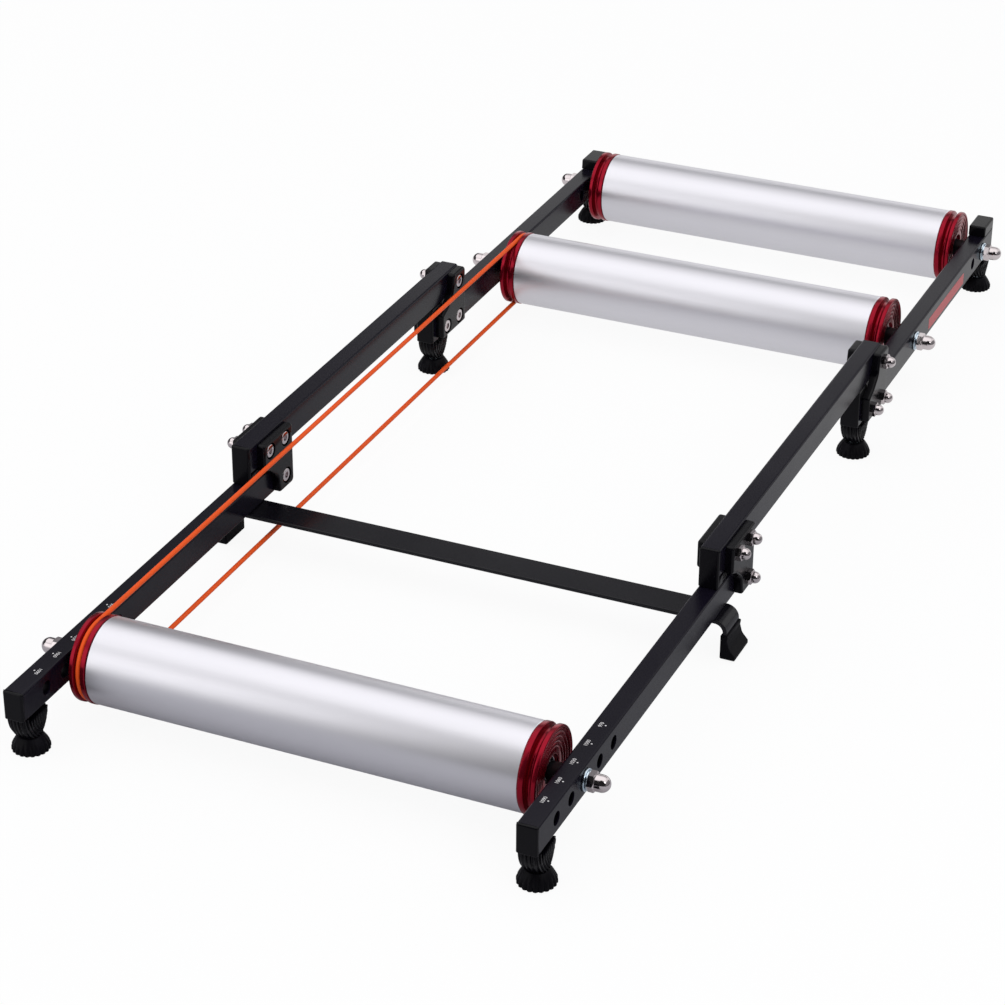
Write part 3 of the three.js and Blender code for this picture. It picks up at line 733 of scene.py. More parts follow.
def loft(rows: np.ndarray) -> Shell:
    """Rings skinned one after another, with a flat face over each end.

    Args:
        rows: points by ring and place round it.

    Returns:
        The closed surface.
    """
    body = skin(rows)
    size, total = rows.shape[1], rows.shape[0] * rows.shape[1]
    body.faces += [list(range(size)), list(range(total - size, total))]
    return body


def circle_outline(radius: float, sides: int = 48) -> tuple[np.ndarray, np.ndarray]:
    """A round outline whose end edges take their whole rounding."""
    angle = ring_angles(sides)
    return radius * np.stack([np.cos(angle), np.sin(angle)], -1), np.ones(sides)


def hexagon_radius(flats: float, angle: np.ndarray) -> np.ndarray:
    """The distance from a hexagon's centre to its side, at each angle."""
    sixth = HALF_TURN / 3
    return flats / 2 / np.cos(np.mod(angle, sixth) - sixth / 2)


def hex_prism(flats: float, length: float, chamfer: float, sides: int = 72) -> Shell:
    """A nut's hexagon along +X, its far corners cut by a cone.

    The surface is the lesser of the hexagon's radius and the cone's, which falls
    by CONE_FALL for each unit along.

    Args:
        flats: width across the flats.
        length: how far it reaches along X.
        chamfer: how far along the cone reaches.
        sides: points round it.

    Returns:
        The closed surface.
    """
    angle = ring_angles(sides)
    hexagon = hexagon_radius(flats, angle)
    start = length - chamfer
    along = np.concatenate([[0.0], np.linspace(start, length, 8)])
    corner = flats / 2 / math.cos(HALF_TURN / 6)
    cone = corner - CONE_FALL * np.clip(along - start, 0, None)
    radius = np.minimum(hexagon[None], cone[:, None])
    return loft(grid(along[:, None], radius * np.cos(angle), radius * np.sin(angle)))


def domed(radius: float, start: float, end: float, sides: int = 48) -> Shell:
    """A round-nosed cylinder along X: a wall, then a quarter of a circle.

    Args:
        radius: of the wall and the nose.
        start, end: its reach along X.
        sides: points round it.

    Returns:
        The closed surface.
    """
    angle = np.linspace(0, QUARTER_TURN, 13)
    nose = np.stack([end - radius + radius * np.sin(angle), radius * np.cos(angle)], -1)
    nose[-1, 1] = 0.0
    return turned(np.vstack([[start, 0.0], [start, radius], nose]), sides)


def rod(radius: float, start: float, end: float, bevel: float = 0.4, sides: int = 32) -> Shell:
    """A round rod along X with bevelled ends.

    Args:
        radius: of the rod.
        start, end: its reach along X.
        bevel: size of the bevels.
        sides: points round it.

    Returns:
        The closed surface.
    """
    profile = [
        [start, 0], [start, radius - bevel], [start + bevel, radius],
        [end - bevel, radius], [end, radius - bevel], [end, 0],
    ]
    return turned(profile, sides)


# Pieces


def linked(name: str, data: Any) -> Any:
    """Puts data into the scene.

    Args:
        name: the object's name.
        data: its mesh, curve, lamp or camera.

    Returns:
        The Blender object.
    """
    made = bpy.data.objects.new(name, data)
    bpy.context.scene.collection.objects.link(made)
    return made


def show(
    name: str,
    shell: Shell,
    finish: Finish,
    nodes: Sequence[str],
    body: str | None,
    sharp: float = 32.0,
) -> Any:
    """Turns a surface into a piece of the object.

    Args:
        name: the piece's name.
        shell: its surface, in millimetres.
        finish: its finish.
        nodes: the CAD nodes that it stands for.
        body: the body it rides on, or None for a piece on no body.
        sharp: the angle in degrees from which an edge shows as an edge.

    Returns:
        The Blender object.
    """
    points = (shell.points - (0.0, FRONT_FEET_Y, 0.0)) * METRES
    mesh = bpy.data.meshes.new(name)
    mesh.from_pydata(points.tolist(), [], [list(face) for face in shell.faces])
    welded = bmesh.new()
    welded.from_mesh(mesh)
    bmesh.ops.remove_doubles(welded, verts=welded.verts, dist=WELD)
    bmesh.ops.dissolve_degenerate(welded, edges=welded.edges, dist=WELD)
    bmesh.ops.recalc_face_normals(welded, faces=welded.faces)
    welded.to_mesh(mesh)
    welded.free()
    mesh.shade_smooth()
    mesh.set_sharp_from_angle(angle=math.radians(sharp))
    mesh.materials.append(finish.material())
    piece = linked(name, mesh)
    flats = piece.modifiers.new("even_flats", "WEIGHTED_NORMAL")
    flats.keep_sharp = True
    if body:
        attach(piece, body)
    if nodes:
        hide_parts(*nodes)
    log.info("%s: %d faces, %s", name, len(mesh.polygons), finish.name)
    return piece


@dataclass
class Rails:
    """The six rails: rectangular tube, with the axle holes of each."""

    wall: float = 1.5
    corner: float = 2.0
    hole: float = 6.3
    hollow: float = 12.0
    past_pivot: float = 10.5
    first_hole: float = 16.0
    hole_step: float = 30.0
    hole_count: int = 5
    hole_sides: int = 32
    spare_ahead: float = 37.5

    def tube(self, start: float, end: float, holes: Sequence[float]) -> Shell:
        """One rail along Y, centred on its own middle line.

        A rounded rectangle is carried from start to end. Its two flat sides are
        filled round the holes, and each hole opens into a round hollow the
        height of the bore before it leaves by the other side.

        Args:
            start, end: its reach along Y.
            holes: the places of its holes.

        Returns:
            The closed surface.
        """
        x, z, corner, sides = LAYOUT.half_width, LAYOUT.half_height, self.corner, self.hole_sides
        section, _ = filleted(
            [(x, -z, corner, 0), (x, z, corner, 0), (-x, z, corner, 0), (-x, -z, corner, 0)]
        )
        body = loft(grid(section[:, 0], [[start], [end]], section[:, 1]))
        size = len(section)
        after = np.roll(section, -1, 0)
        upright = np.abs(section[:, 0] - after[:, 0]) < 1e-6
        flats = np.flatnonzero(upright & (np.abs(section[:, 1] - after[:, 1]) > z)).tolist()
        body.faces = [face for k, face in enumerate(body.faces) if k not in flats]
        radii = [self.hole, self.hole, self.hollow, self.hollow, self.hole, self.hole]
        depths = [x, x - self.wall, x - self.wall, self.wall - x, self.wall - x, -x]
        starts = []
        for y in holes:
            bore = Opening.bored(y, 0.0, np.column_stack([radii, depths]), sides)
            starts.append(len(body.points))
            body = body + skin(bore.rings[..., [2, 0, 1]])
        for k in flats:
            mouth = 0 if section[k, 0] > 0 else (len(radii) - 1) * sides
            following = (k + 1) % size
            edge = [k, following, size + following, size + k]
            mouths = [range(start + mouth, start + mouth + sides) for start in starts]
            body.faces += filled(body.points[:, [1, 2, 0]], [edge, *mouths])
        return body

    def build(self) -> None:
        """Makes the six rails."""
        front_holes = [self.first_hole + k * self.hole_step for k in range(self.hole_count)]
        rear_holes = [LAYOUT.middle_axle, LAYOUT.rear_axle - self.spare_ahead, LAYOUT.rear_axle]
        front_back = LAYOUT.front_pivot + self.past_pivot
        middle_back = LAYOUT.rear_pivot + self.past_pivot
        runs = [
            (Section.FRONT, LAYOUT.low_rail, LAYOUT.front_end, front_back, front_holes),
            (Section.MIDDLE, LAYOUT.high_rail, LAYOUT.middle_end, middle_back, []),
            (Section.REAR, LAYOUT.low_rail, LAYOUT.rear_end, LAYOUT.last_end, rear_holes),
        ]
        for section, height, start, end, holes in runs:
            tube = self.tube(start, end, holes)
            for side in Side:
                node = f"{section.label}_rail_{side.label}"
                shell = tube.moved(side.value * LAYOUT.rail_side, 0, height)
                show(f"{node}_tube", shell, RAIL_PAINT, [node], section.value)


@dataclass
class ScaleMarks:
    """The axle scale on the front rails, and the stripe on the right rear rail."""

    numbers: tuple[int, ...] = (1090, 1060, 1030, 1000, 970)
    digit_height: float = 3.4
    text_size: float = 1.42
    digit_inset: float = 2.3
    dot_out: float = 1.8
    dot_radius: float = 0.75
    along_shift: float = 0.5
    film: float = 0.06
    stripe_y: tuple[float, float] = (1028.5, 1159.8)
    stripe_z: tuple[float, float] = (44.0, 56.8)
    stripe_corner: float = 1.0

    def number(self, value: int) -> Shell:
        """A number as a thin raised film, centred, reading along +X with its top to +Y.

        Args:
            value: the number.

        Returns:
            The closed surface.
        """
        text = bpy.data.curves.new("number", "FONT")
        text.body = str(value)
        text.align_x = "CENTER"
        text.size = self.digit_height * self.text_size
        text.extrude = self.film
        text.resolution_u = 3
        holder = linked("number", text)
        bpy.context.view_layer.update()
        mesh = bpy.data.meshes.new_from_object(holder)
        points = np.zeros(len(mesh.vertices) * 3)
        mesh.vertices.foreach_get("co", points)
        faces = [list(face.vertices) for face in mesh.polygons]
        bpy.data.objects.remove(holder)
        bpy.data.curves.remove(text)
        bpy.data.meshes.remove(mesh)
        return Shell(points.reshape(-1, 3), faces)

    def build(self, rails: Rails) -> None:
        """Prints the scale beside the holes, and the stripe.

        Args:
            rails: the rails, which know the places of their holes.
        """
        top = LAYOUT.low_rail + LAYOUT.half_height
        dot = moulding(circle_outline(self.dot_radius, 20), (-self.film, self.film))
        for side in Side:
            way = side.value
            inner = way * (LAYOUT.rail_side - self.digit_inset + self.digit_height / 2)
            outer = way * (LAYOUT.rail_side + self.dot_out)
            marks = []
            for k, value in enumerate(self.numbers):
                y = rails.first_hole + k * rails.hole_step + self.along_shift
                digits = self.number(value).placed([(0, way, 0), (-way, 0, 0), (0, 0, 1)])
                marks += [digits.moved(inner, y, top), dot.moved(outer, y, top)]
            scale = reduce(Shell.__add__, marks)
            show(f"front_rail_scale_{side.label}", scale, INK, [], Section.FRONT.value)
        (y0, y1), (z0, z1), r = self.stripe_y, self.stripe_z, self.stripe_corner
        bar = filleted([(y0, z0, r, 0), (y1, z0, r, 0), (y1, z1, r, 0), (y0, z1, r, 0)])
        stripe = moulding(bar, (-self.film, self.film)).placed(SEEN_FROM_SIDE)
        stripe = stripe.moved(x=LAYOUT.rail_side + LAYOUT.half_width)
        show("rear_rail_stripe_right", stripe, STRIPE_RED, [], Section.REAR.value)


@dataclass
class EndCaps:
    """The moulded caps of the rails, with their stop blocks and foot sockets."""

    face: float = 3.0
    edge: float = 2.0
    low_corner: float = 1.2
    high_corner: float = 1.6
    stop_depth: float = 25.0
    rest_depth: float = 34.0
    slots: int = 3
    slot_length: float = 11.0
    slot_height: float = 1.4
    slot_sink: float = 1.2
    half_width: float = 11.0
    behind_foot: float = 18.5
    front_inset: float = 1.5
    neck: float = 10.5
    slit: float = 3.0
    slit_start: float = 5.0
    rib_pitch: float = 3.65
    rib_depth: float = 1.3
    top_power: float = 4.5
    taper_power: float = 2.2
    ease: float = 0.5
    sides: int = 320

    def block(self, raise_by: float, drop_by: float, depth: float, slotted: bool) -> Shell:
        """A cap seen from its side, drawn out across the rail.

        The outline is in Y and Z, its origin on the rail's end. The edges that
        meet a rail stay square, the others are rounded.

        Args:
            raise_by: how far it stands above the rail, 0 for flush.
            drop_by: how far it reaches below the rail, 0 for flush.
            depth: its length along the rail, from its face.
            slotted: whether its sides have the row of slots.

        Returns:
            The closed surface.
        """
        z, gap, edge = LAYOUT.half_height, LAYOUT.gap, self.edge
        low, high, back = -z - drop_by, z + raise_by, depth - self.face
        corners = [(-self.face, low, self.low_corner, 1)]
        if drop_by:
            corners += [(back, low, edge, 1), (back, -z - gap, 0.3, 0.4), (-gap, -z - gap, 0, 0)]
        else:
            corners += [(-gap, low, 0, 0)]
        if raise_by:
            corners += [(-gap, z + gap, 0, 0), (back, z + gap, 0.3, 0.4), (back, high, edge, 1)]
        else:
            corners += [(-gap, high, 0, 0)]
        corners += [(-self.face, high, self.high_corner, 1)]
        near, far = -LAYOUT.half_width, LAYOUT.half_width
        slots = []
        if slotted:
            pitch = (drop_by - gap) / (self.slots + 1)
            end, half, r = back - edge, self.slot_height / 2, self.slot_height / 2.2
            for i in range(self.slots):
                level = -z - gap - (i + 1) * pitch
                slots.append(filleted([
                    (end - self.slot_length, level - half, r, 0), (end, level - half, r, 0),
                    (end, level + half, r, 0), (end - self.slot_length, level + half, r, 0),
                ], 3)[0])
        body = moulding(
            filleted(corners), (near, far), edge, edge,
            [Opening.sunk(slot, far, far - self.slot_sink) for slot in slots],
            [Opening.sunk(slot, near, near + self.slot_sink) for slot in slots],
        )
        return body.placed(SEEN_FROM_SIDE)

    def socket(self, centre: float, foot_top: float) -> Shell:
        """The ribbed socket of a foot.

        A ring at each height is a superellipse, |cos t / a|^p + |sin t / b|^p
        to the power -1/p, less a wave of its distance round from the front. Its
        half axes and power run from an oblong under the rail to the round neck.
        The upper part ends where the slit under the rail begins.

        Args:
            centre: how far the foot stands behind the rail's end.
            foot_top: the height of the foot's top over the floor.

        Returns:
            The closed surface, its origin on the rail's end.
        """
        top = -LAYOUT.half_height
        under = top - LAYOUT.gap - self.slit
        bottom = foot_top + LAYOUT.gap - LAYOUT.low_rail
        level = np.array([0.0, 0.03, 0.12, 0.24, 0.38, 0.52, 0.66, 0.78, 0.88, 0.95, 1.0, 1.0])
        height = under + (bottom - under) * level
        taper = ((height - top) / (bottom - top)) ** self.taper_power
        rows = self.rings(height, taper, centre)
        rows[0, :, :2] = (rows[1] + self.drawn_in(rows[1], centre, self.ease))[:, :2]
        rows[-1] += self.drawn_in(rows[-1], centre, self.ease)
        upper = self.rings(np.array([top - 0.05, under - 0.5]), np.zeros(2), centre)
        upper[..., 1] = np.minimum(upper[..., 1], self.slit_start)
        return loft(rows) + loft(upper)

    @staticmethod
    def drawn_in(ring: np.ndarray, centre: float, step: float) -> np.ndarray:
        """The move that draws a ring level towards its own middle.

        Args:
            ring: its points.
            centre: its middle along Y.
            step: how far each point goes.

        Returns:
            Each point's move.
        """
        out = (ring - (0.0, centre, 0.0)) * (1, 1, 0)
        return -step * out / np.linalg.norm(out, axis=-1)[..., None]

    def rings(self, height: np.ndarray, taper: np.ndarray, centre: float) -> np.ndarray:
        """The socket's rings; socket() gives the formula.

        Args:
            height: of each ring.
            taper: of each ring, from 0 where it is oblong to 1 where it is round.
            centre: the middle of the foot along Y.

        Returns:
            The points by ring and place round it.
        """
        angle = ring_angles(self.sides) - QUARTER_TURN
        share = taper[:, None]
        ahead = centre + self.face - self.front_inset
        reach = np.where(np.sin(angle) < 0, ahead, self.behind_foot)
        across = self.half_width + (self.neck - self.half_width) * share
        along = reach + (self.neck - reach) * share
        power = self.top_power + (2 - self.top_power) * share
        wide, long = np.abs(np.cos(angle)) / across, np.abs(np.sin(angle)) / along
        radius = (wide**power + long**power) ** (-1 / power)
        spot = radius[..., None] * np.stack([np.cos(angle), np.sin(angle)], -1)
        step = np.linalg.norm(np.diff(spot, axis=1, append=spot[:, :1]), axis=-1)
        run = np.cumsum(step, axis=1) - step
        run = np.minimum(run, step.sum(1)[:, None] - run)
        wave = np.clip(0.5 + 0.8 * np.cos(2 * math.pi * run / self.rib_pitch), 0, 1)
        radius = radius - self.rib_depth * wave
        return grid(radius * np.cos(angle), centre + radius * np.sin(angle), height[:, None])

    def build(self) -> None:
        """Makes the eight caps."""
        reach, low, pad = LAYOUT.block_reach, LAYOUT.low_rail, Feet.pad_height
        first, rear, last = LAYOUT.front_end, LAYOUT.rear_end, LAYOUT.last_end
        front_socket = self.socket(-first, pad)
        middle_socket = self.socket(LAYOUT.middle_foot - rear, pad + Feet.collar_shown)
        rear_socket = self.socket(last - LAYOUT.rear_foot, pad + Feet.collar_shown)
        rows = [
            ("front_end_cap", Section.FRONT, low, first, 1,
             self.block(0, 0, self.face, False) + front_socket),
            ("middle_stop_cap", Section.MIDDLE, LAYOUT.high_rail, LAYOUT.middle_end, 1,
             self.block(0, reach, self.stop_depth, True)),
            ("rear_stop_cap", Section.REAR, low, rear, 1,
             self.block(reach, 0, self.stop_depth, False) + middle_socket),
            ("rear_end_cap", Section.REAR, low, last, -1,
             self.block(reach, 0, self.rest_depth, False) + rear_socket),
        ]
        for name, section, height, place, way, shell in rows:
            for side in Side:
                node = f"{name}_{side.label}"
                at = shell.scaled(y=way).moved(side.value * LAYOUT.rail_side, place, height)
                show(f"{node}_moulding", at, NYLON, [node], section.value)


@dataclass
class Feet:
    """The six screw feet: a scalloped rubber pad on a plated stud."""

    pad_height: float = 14.2
    scallops: int = 20
    scallop_depth: float = 1.3
    collar: float = 14.0
    collar_shown: float = 2.0
    collar_sunk: float = 3.0
    stud: float = 8.0
    stud_length: float = 17.0

    def pad(self) -> Shell:
        """The rubber pad: rings whose radius carries a scallop wave that fades upwards.

        The wave is 1 less the size of the cosine, which leaves a sharp cusp.

        Returns:
            The closed surface, its middle at the origin.
        """
        table = np.array([
            # height, radius, scallop
            (0.0, 15.6, 1.0), (0.0, 16.6, 1.0), (0.4, 17.0, 1.0), (2.2, 17.0, 1.0),
            (3.9, 16.9, 1.0), (5.2, 16.3, 0.8), (7.2, 15.4, 0.45), (9.2, 14.2, 0.2),
            (11.0, 13.0, 0.1), (12.6, 11.9, 0.05), (13.8, 10.9, 0.0), (14.2, 10.2, 0.0),
            (14.2, 7.4, 0.0), (13.0, 7.2, 0.0),
        ])
        angle = ring_angles(self.scallops * 8)
        wave = 1 - np.abs(np.cos(self.scallops / 2 * angle))
        radius = table[:, 1:2] - self.scallop_depth * table[:, 2:3] * wave
        return loft(grid(radius * np.cos(angle), radius * np.sin(angle), table[:, :1]))

    def hardware(self, shown: float) -> Shell:
        """The stud's collar, shown above the pad, and the stud above that.

        Args:
            shown: how much of the collar stands above the pad.

        Returns:
            The two closed surfaces.
        """
        top = self.pad_height + shown
        collar = rod(self.collar / 2, self.pad_height - self.collar_sunk, top, 0.3, 40)
        stud = rod(self.stud / 2, top - 0.5, top + self.stud_length, 0.5)
        return (collar + stud).placed([(0, 0, 1), (0, 1, 0), (-1, 0, 0)])

    def build(self) -> None:
        """Makes the six feet."""
        pad = self.pad()
        rows = [("front", 0.0, 0.0), ("middle", LAYOUT.middle_foot, self.collar_shown),
                ("rear", LAYOUT.rear_foot, self.collar_shown)]
        for name, y, shown in rows:
            hardware = self.hardware(shown)
            for side in Side:
                node = f"{name}_foot_{side.label}"
                body = f"{name}_foot_{side.label[0]}"
                x = side.value * LAYOUT.rail_side
                show(f"{node}_rubber", pad.moved(x, y), RUBBER, [node], body)
                show(f"{node}_stud", hardware.moved(x, y), ZINC, [node], body)


@dataclass
class Hinges:
    """The four hinges: plates inside and outside each rail, and their bolts."""

    thickness: float = 7.7
    rounding: float = 2.4
    end: float = 14.0
    end_ahead: float = 13.0
    below_edge: float = 3.5
    above_edge: float = 1.5
    corner: float = 3.0
    toe: float = 5.0
    hollow: float = 12.0
    bolt_spacing: float = 30.0
    rail_pitch: float = 40.0
    bore: float = 4.3
    pocket: float = 8.0
    pocket_depth: float = 5.5
    head: float = 6.5
    head_height: float = 4.6
    key_flats: float = 6.0
    key_depth: float = 3.0
    nut_flats: float = 13.0
    nut_hex: float = 4.5
    nut_chamfer: float = 0.9
    nut_dome: float = 5.5
    nut_height: float = 11.5
    shank: float = 4.0

    @property
    def bolts(self) -> list[tuple[float, float]]:
        """The bolts' places from the pivot: the pivot itself, then the rail's two."""
        return [(0.0, 0.0), (0.0, self.rail_pitch), (-self.bolt_spacing, self.rail_pitch)]

    def outline(self) -> tuple[np.ndarray, np.ndarray]:
        """A plate's outline in Y and Z from the pivot, its wide end up.

        Returns:
            The outline's points, and the rounding weight of each.
        """
        z, corner = LAYOUT.half_height, self.corner
        front, top = -self.bolt_spacing - self.end_ahead, self.rail_pitch + z - self.below_edge
        low, waist = self.above_edge - z, self.rail_pitch - z - 2
        return filleted([
            (front, top, corner, 1), (front, waist, corner, 1),
            (-self.bolt_spacing, waist - 6, 7, 1),
            (-self.bolt_spacing * 0.58, waist * 0.33, self.hollow, 1), (-self.end, low, corner, 1),
            (self.end, low, self.toe, 1), (self.end, top, corner, 1),
        ], 6)

    def plate(self, pocketed: bool) -> Shell:
        """A plate along w: its rail side at 0, its rounded face at its thickness.

        Args:
            pocketed: whether its bores open into pockets for the bolts' heads.

        Returns:
            The closed surface.
        """
        face, bore, pocket = self.thickness, self.bore, self.pocket
        profile = [(bore + 0.3, face), (bore, face - 0.4), (bore, 0)]
        if pocketed:
            floor = face - self.pocket_depth
            profile = [
                (pocket + 0.7, face), (pocket + 0.2, face - 0.25), (pocket, face - 0.8),
                (pocket, floor), (bore, floor), (bore, 0),
            ]
        holes = [Opening.bored(y, z, profile) for y, z in self.bolts]
        return moulding(self.outline(), (0, face), far=self.rounding, openings=holes, steps=6)

    def head_shell(self) -> Shell:
        """A socket head along X from its seat: rounded edge, hexagonal key hole.

        Returns:
            The closed surface.
        """
        circle, _ = circle_outline(1.0)
        key = hexagon_radius(self.key_flats, ring_angles(len(circle)))[:, None] * circle
        hole = Opening.sunk(key, self.head_height, self.head_height - self.key_depth)
        body = moulding(circle_outline(self.head), (0, self.head_height), 0.2, 0.8, [hole])
        return body.placed(SEEN_FROM_SIDE)

    def bolt(self, nut_seat: float) -> Shell:
        """A bolt with its domed nut along +X, its origin on the outer plate's rail side.

        Args:
            nut_seat: where the nut sits.

        Returns:
            The closed surfaces of head, shank and nut.
        """
        seat = -2 * LAYOUT.plate_seat - self.thickness + self.pocket_depth - LAYOUT.gap
        nut = hex_prism(self.nut_flats, self.nut_hex, self.nut_chamfer)
        nut += domed(self.nut_dome, 0.5, self.nut_height)
        head = self.head_shell().scaled(x=-1).moved(x=seat)
        return head + rod(self.shank, seat - 0.5, nut_seat + 0.8) + nut.moved(x=nut_seat)

    def build(self) -> None:
        """Makes both pairs of hinges."""
        inner, outer = self.plate(True), self.plate(False)
        fixed = self.bolt(self.thickness)
        pivot = self.bolt(self.thickness + LAYOUT.gap)
        rows = [
            ("front", Section.MIDDLE.value, LAYOUT.front_pivot, LAYOUT.low_rail, 1),
            ("rear", Section.REAR.value, LAYOUT.rear_pivot, LAYOUT.high_rail, -1),
        ]
        for name, body, y, z, up in rows:
            for side in Side:
                way = side.value
                outside = way * (LAYOUT.rail_side + LAYOUT.plate_seat)
                for label, plate, out in (("inner", inner, -1), ("outer", outer, 1)):
                    x = way * (LAYOUT.rail_side + out * LAYOUT.plate_seat)
                    node = f"{name}_hinge_{label}_{side.label}"
                    shell = plate.placed(SEEN_FROM_SIDE).scaled(x=out * way, z=up).moved(x, y, z)
                    show(f"{node}_moulding", shell, NYLON, [node], body)
                one, other = (fixed.moved(0, along, rise * up) for along, rise in self.bolts[1:])
                shell = (one + other).scaled(x=way).moved(outside, y, z)
                show(f"{name}_fixing_bolts_{side.label}", shell, CHROME, [node], body)
                node = f"{name}_pivot_bolt_{side.label}"
                shell = pivot.scaled(x=way).moved(outside, y, z)
                show(f"{node}_steel", shell, CHROME, [node], body)


@dataclass
class Rollers:
    """The three rollers: drum, red end caps, bearings, and their fixed axles."""

    tube_radius: float = 39.0
    tube_wall: float = 1.5
    tube_bevel: float = 0.8
    cap_face: float = 216.8
    cap_width: float = 16.0
    rim: float = 39.6
    spigot: float = 37.2
    spigot_length: float = 15.0
    groove_inset: float = 5.0
    groove_mouth: float = 6.6
    groove_floor: float = 33.45
    groove_round: float = 2.5
    flange: float = 2.6
    hub: float = 20.0
    seat: float = 14.3
    seat_back: float = 2.7
    ring_step: float = 1.4
    ridge_height: float = 0.9
    ridge_power: float = 0.7
    ripples: int = 4
    bearing_radius: float = 14.0
    bearing_width: float = 8.0
    bearing_inset: float = 5.0
    race: float = 2.2
    inner_race: float = 1.9
    seal_sunk: float = 0.6
    axle: float = 6.0
    thread: float = 5.0
    thread_shown: float = 12.2
    collar: float = 9.0
    sides: int = 128

    @property
    def tube_end(self) -> float:
        """Where the drum ends and its cap begins."""
        return self.cap_face - self.cap_width

    @property
    def tube_bore(self) -> float:
        """The drum's inner radius."""
        return self.tube_radius - self.tube_wall

    def drum(self) -> Shell:
        """The drum between its bevels, a closed tube."""
        end, outer, inner = self.tube_end - self.tube_bevel, self.tube_radius, self.tube_bore
        return turned([(-end, inner), (-end, outer), (end, outer), (end, inner)], self.sides)

    def bevel(self) -> Shell:
        """The bright turned bevel at the drum's right end.

        Returns:
            The closed surface.
        """
        start, end, inner = self.tube_end - self.tube_bevel, self.tube_end, self.tube_bore
        low = self.tube_radius - self.tube_bevel
        return turned([
            (start, inner), (start, self.tube_radius),
            (end - 0.1, low + 0.15), (end, low), (end, inner),
        ], self.sides)

    def cap(self) -> Shell:
        """The right cap: flange, belt groove, flange, rippled face, bearing seat.

        Across the face, from the outer flange to the hub, the profile steps in
        by ring_step in all and carries one rounded ridge for each ripple: the
        size of a sine, to the power ridge_power.

        Returns:
            The closed surface, its origin on the drum's end.
        """
        rim, width, gap, near = self.rim, self.cap_width, LAYOUT.gap, self.groove_inset
        far, half, bore = near + self.groove_mouth, self.groove_round, self.seat - self.race - 0.3
        angle = np.linspace(HALF_TURN, 2 * HALF_TURN, 13)
        middle, low = near + self.groove_mouth / 2, self.groove_floor + half
        groove = np.column_stack([middle + half * np.cos(angle), low + half * np.sin(angle)])
        share = np.linspace(0, 1, self.ripples * 10 + 1)
        outer = rim - self.flange
        ridge = np.abs(np.sin(share * self.ripples * HALF_TURN)) ** self.ridge_power
        along = width - 0.3 - self.ring_step * share - self.ridge_height * (1 - ridge)
        face = np.column_stack([along, outer + (self.hub - rim + self.flange) * share])
        hub_face = width - self.ring_step - 0.5
        return turned([
            (-self.spigot_length, self.spigot), (gap, self.spigot), (gap, rim - 0.5),
            (gap + 0.15, rim - 0.15), (gap + 0.5, rim), (near - 0.7, rim),
            (near - 0.2, rim - 0.25), (near, rim - 0.8), *groove,
            (far, rim - 0.8), (far + 0.2, rim - 0.25), (far + 0.7, rim),
            (width - 1.1, rim), (width - 0.5, rim - 0.2), (width - 0.12, rim - 0.7),
            (width, rim - 1.4), (width, rim - 2.0), (width - 0.25, rim - 2.4), *face,
            (hub_face, self.hub - 0.6), (hub_face, self.seat + 0.5), (hub_face - 0.5, self.seat),
            (self.seat_back, self.seat), (self.seat_back, bore), (-self.spigot_length, bore),
        ], self.sides)

    def races(self) -> Shell:
        """The bearing's outer and inner rings, centred on the bearing.

        Returns:
            The two closed surfaces.
        """
        outer, end, bore = self.bearing_radius, self.bearing_width / 2, self.axle + LAYOUT.gap
        return reduce(Shell.__add__, (
            turned([
                (-end, low), (-end, high - 0.4), (0.4 - end, high), (end - 0.4, high),
                (end, high - 0.4), (end, low + 0.3), (end - 0.3, low),
            ])
            for low, high in ((outer - self.race, outer), (bore, bore + self.inner_race))
        ))

    def seal(self) -> Shell:
        """The bearing's dark seals, joined through the bearing as one ring.

        Returns:
            The closed surface, centred on the bearing.
        """
        low, high = self.axle + LAYOUT.gap + 1.8, self.bearing_radius - self.race + 0.1
        end = self.bearing_width / 2 - self.seal_sunk
        return turned([
            (-end, low), (-end, high), (end, high), (end, high - 0.7), (end - 0.35, high - 1.1),
            (end - 0.35, low + 0.8), (end, low + 0.4), (end, low),
        ])

    def axle_shell(self) -> Shell:
        """The axle from nut to nut, with a collar outside each bearing.

        Returns:
            The closed surfaces of shaft, thread and collars.
        """
        rail = LAYOUT.rail_side - LAYOUT.plate_seat
        shoulder = LAYOUT.rail_side + LAYOUT.half_width
        end = LAYOUT.rail_side + LAYOUT.plate_seat + self.thread_shown
        start = self.cap_face - self.bearing_inset + LAYOUT.gap
        collar = turned([
            (start, 0), (start, self.collar - 1.2), (start + 0.8, self.collar - 0.4),
            (start + 1.6, self.collar), (rail - 0.5, self.collar),
            (rail, self.collar - 0.5), (rail, 0),
        ], 48)
        shaft = rod(self.axle, -shoulder, shoulder, 0.8, 48) + rod(self.thread, -end, end, 0.8, 48)
        return shaft + collar + collar.scaled(x=-1)

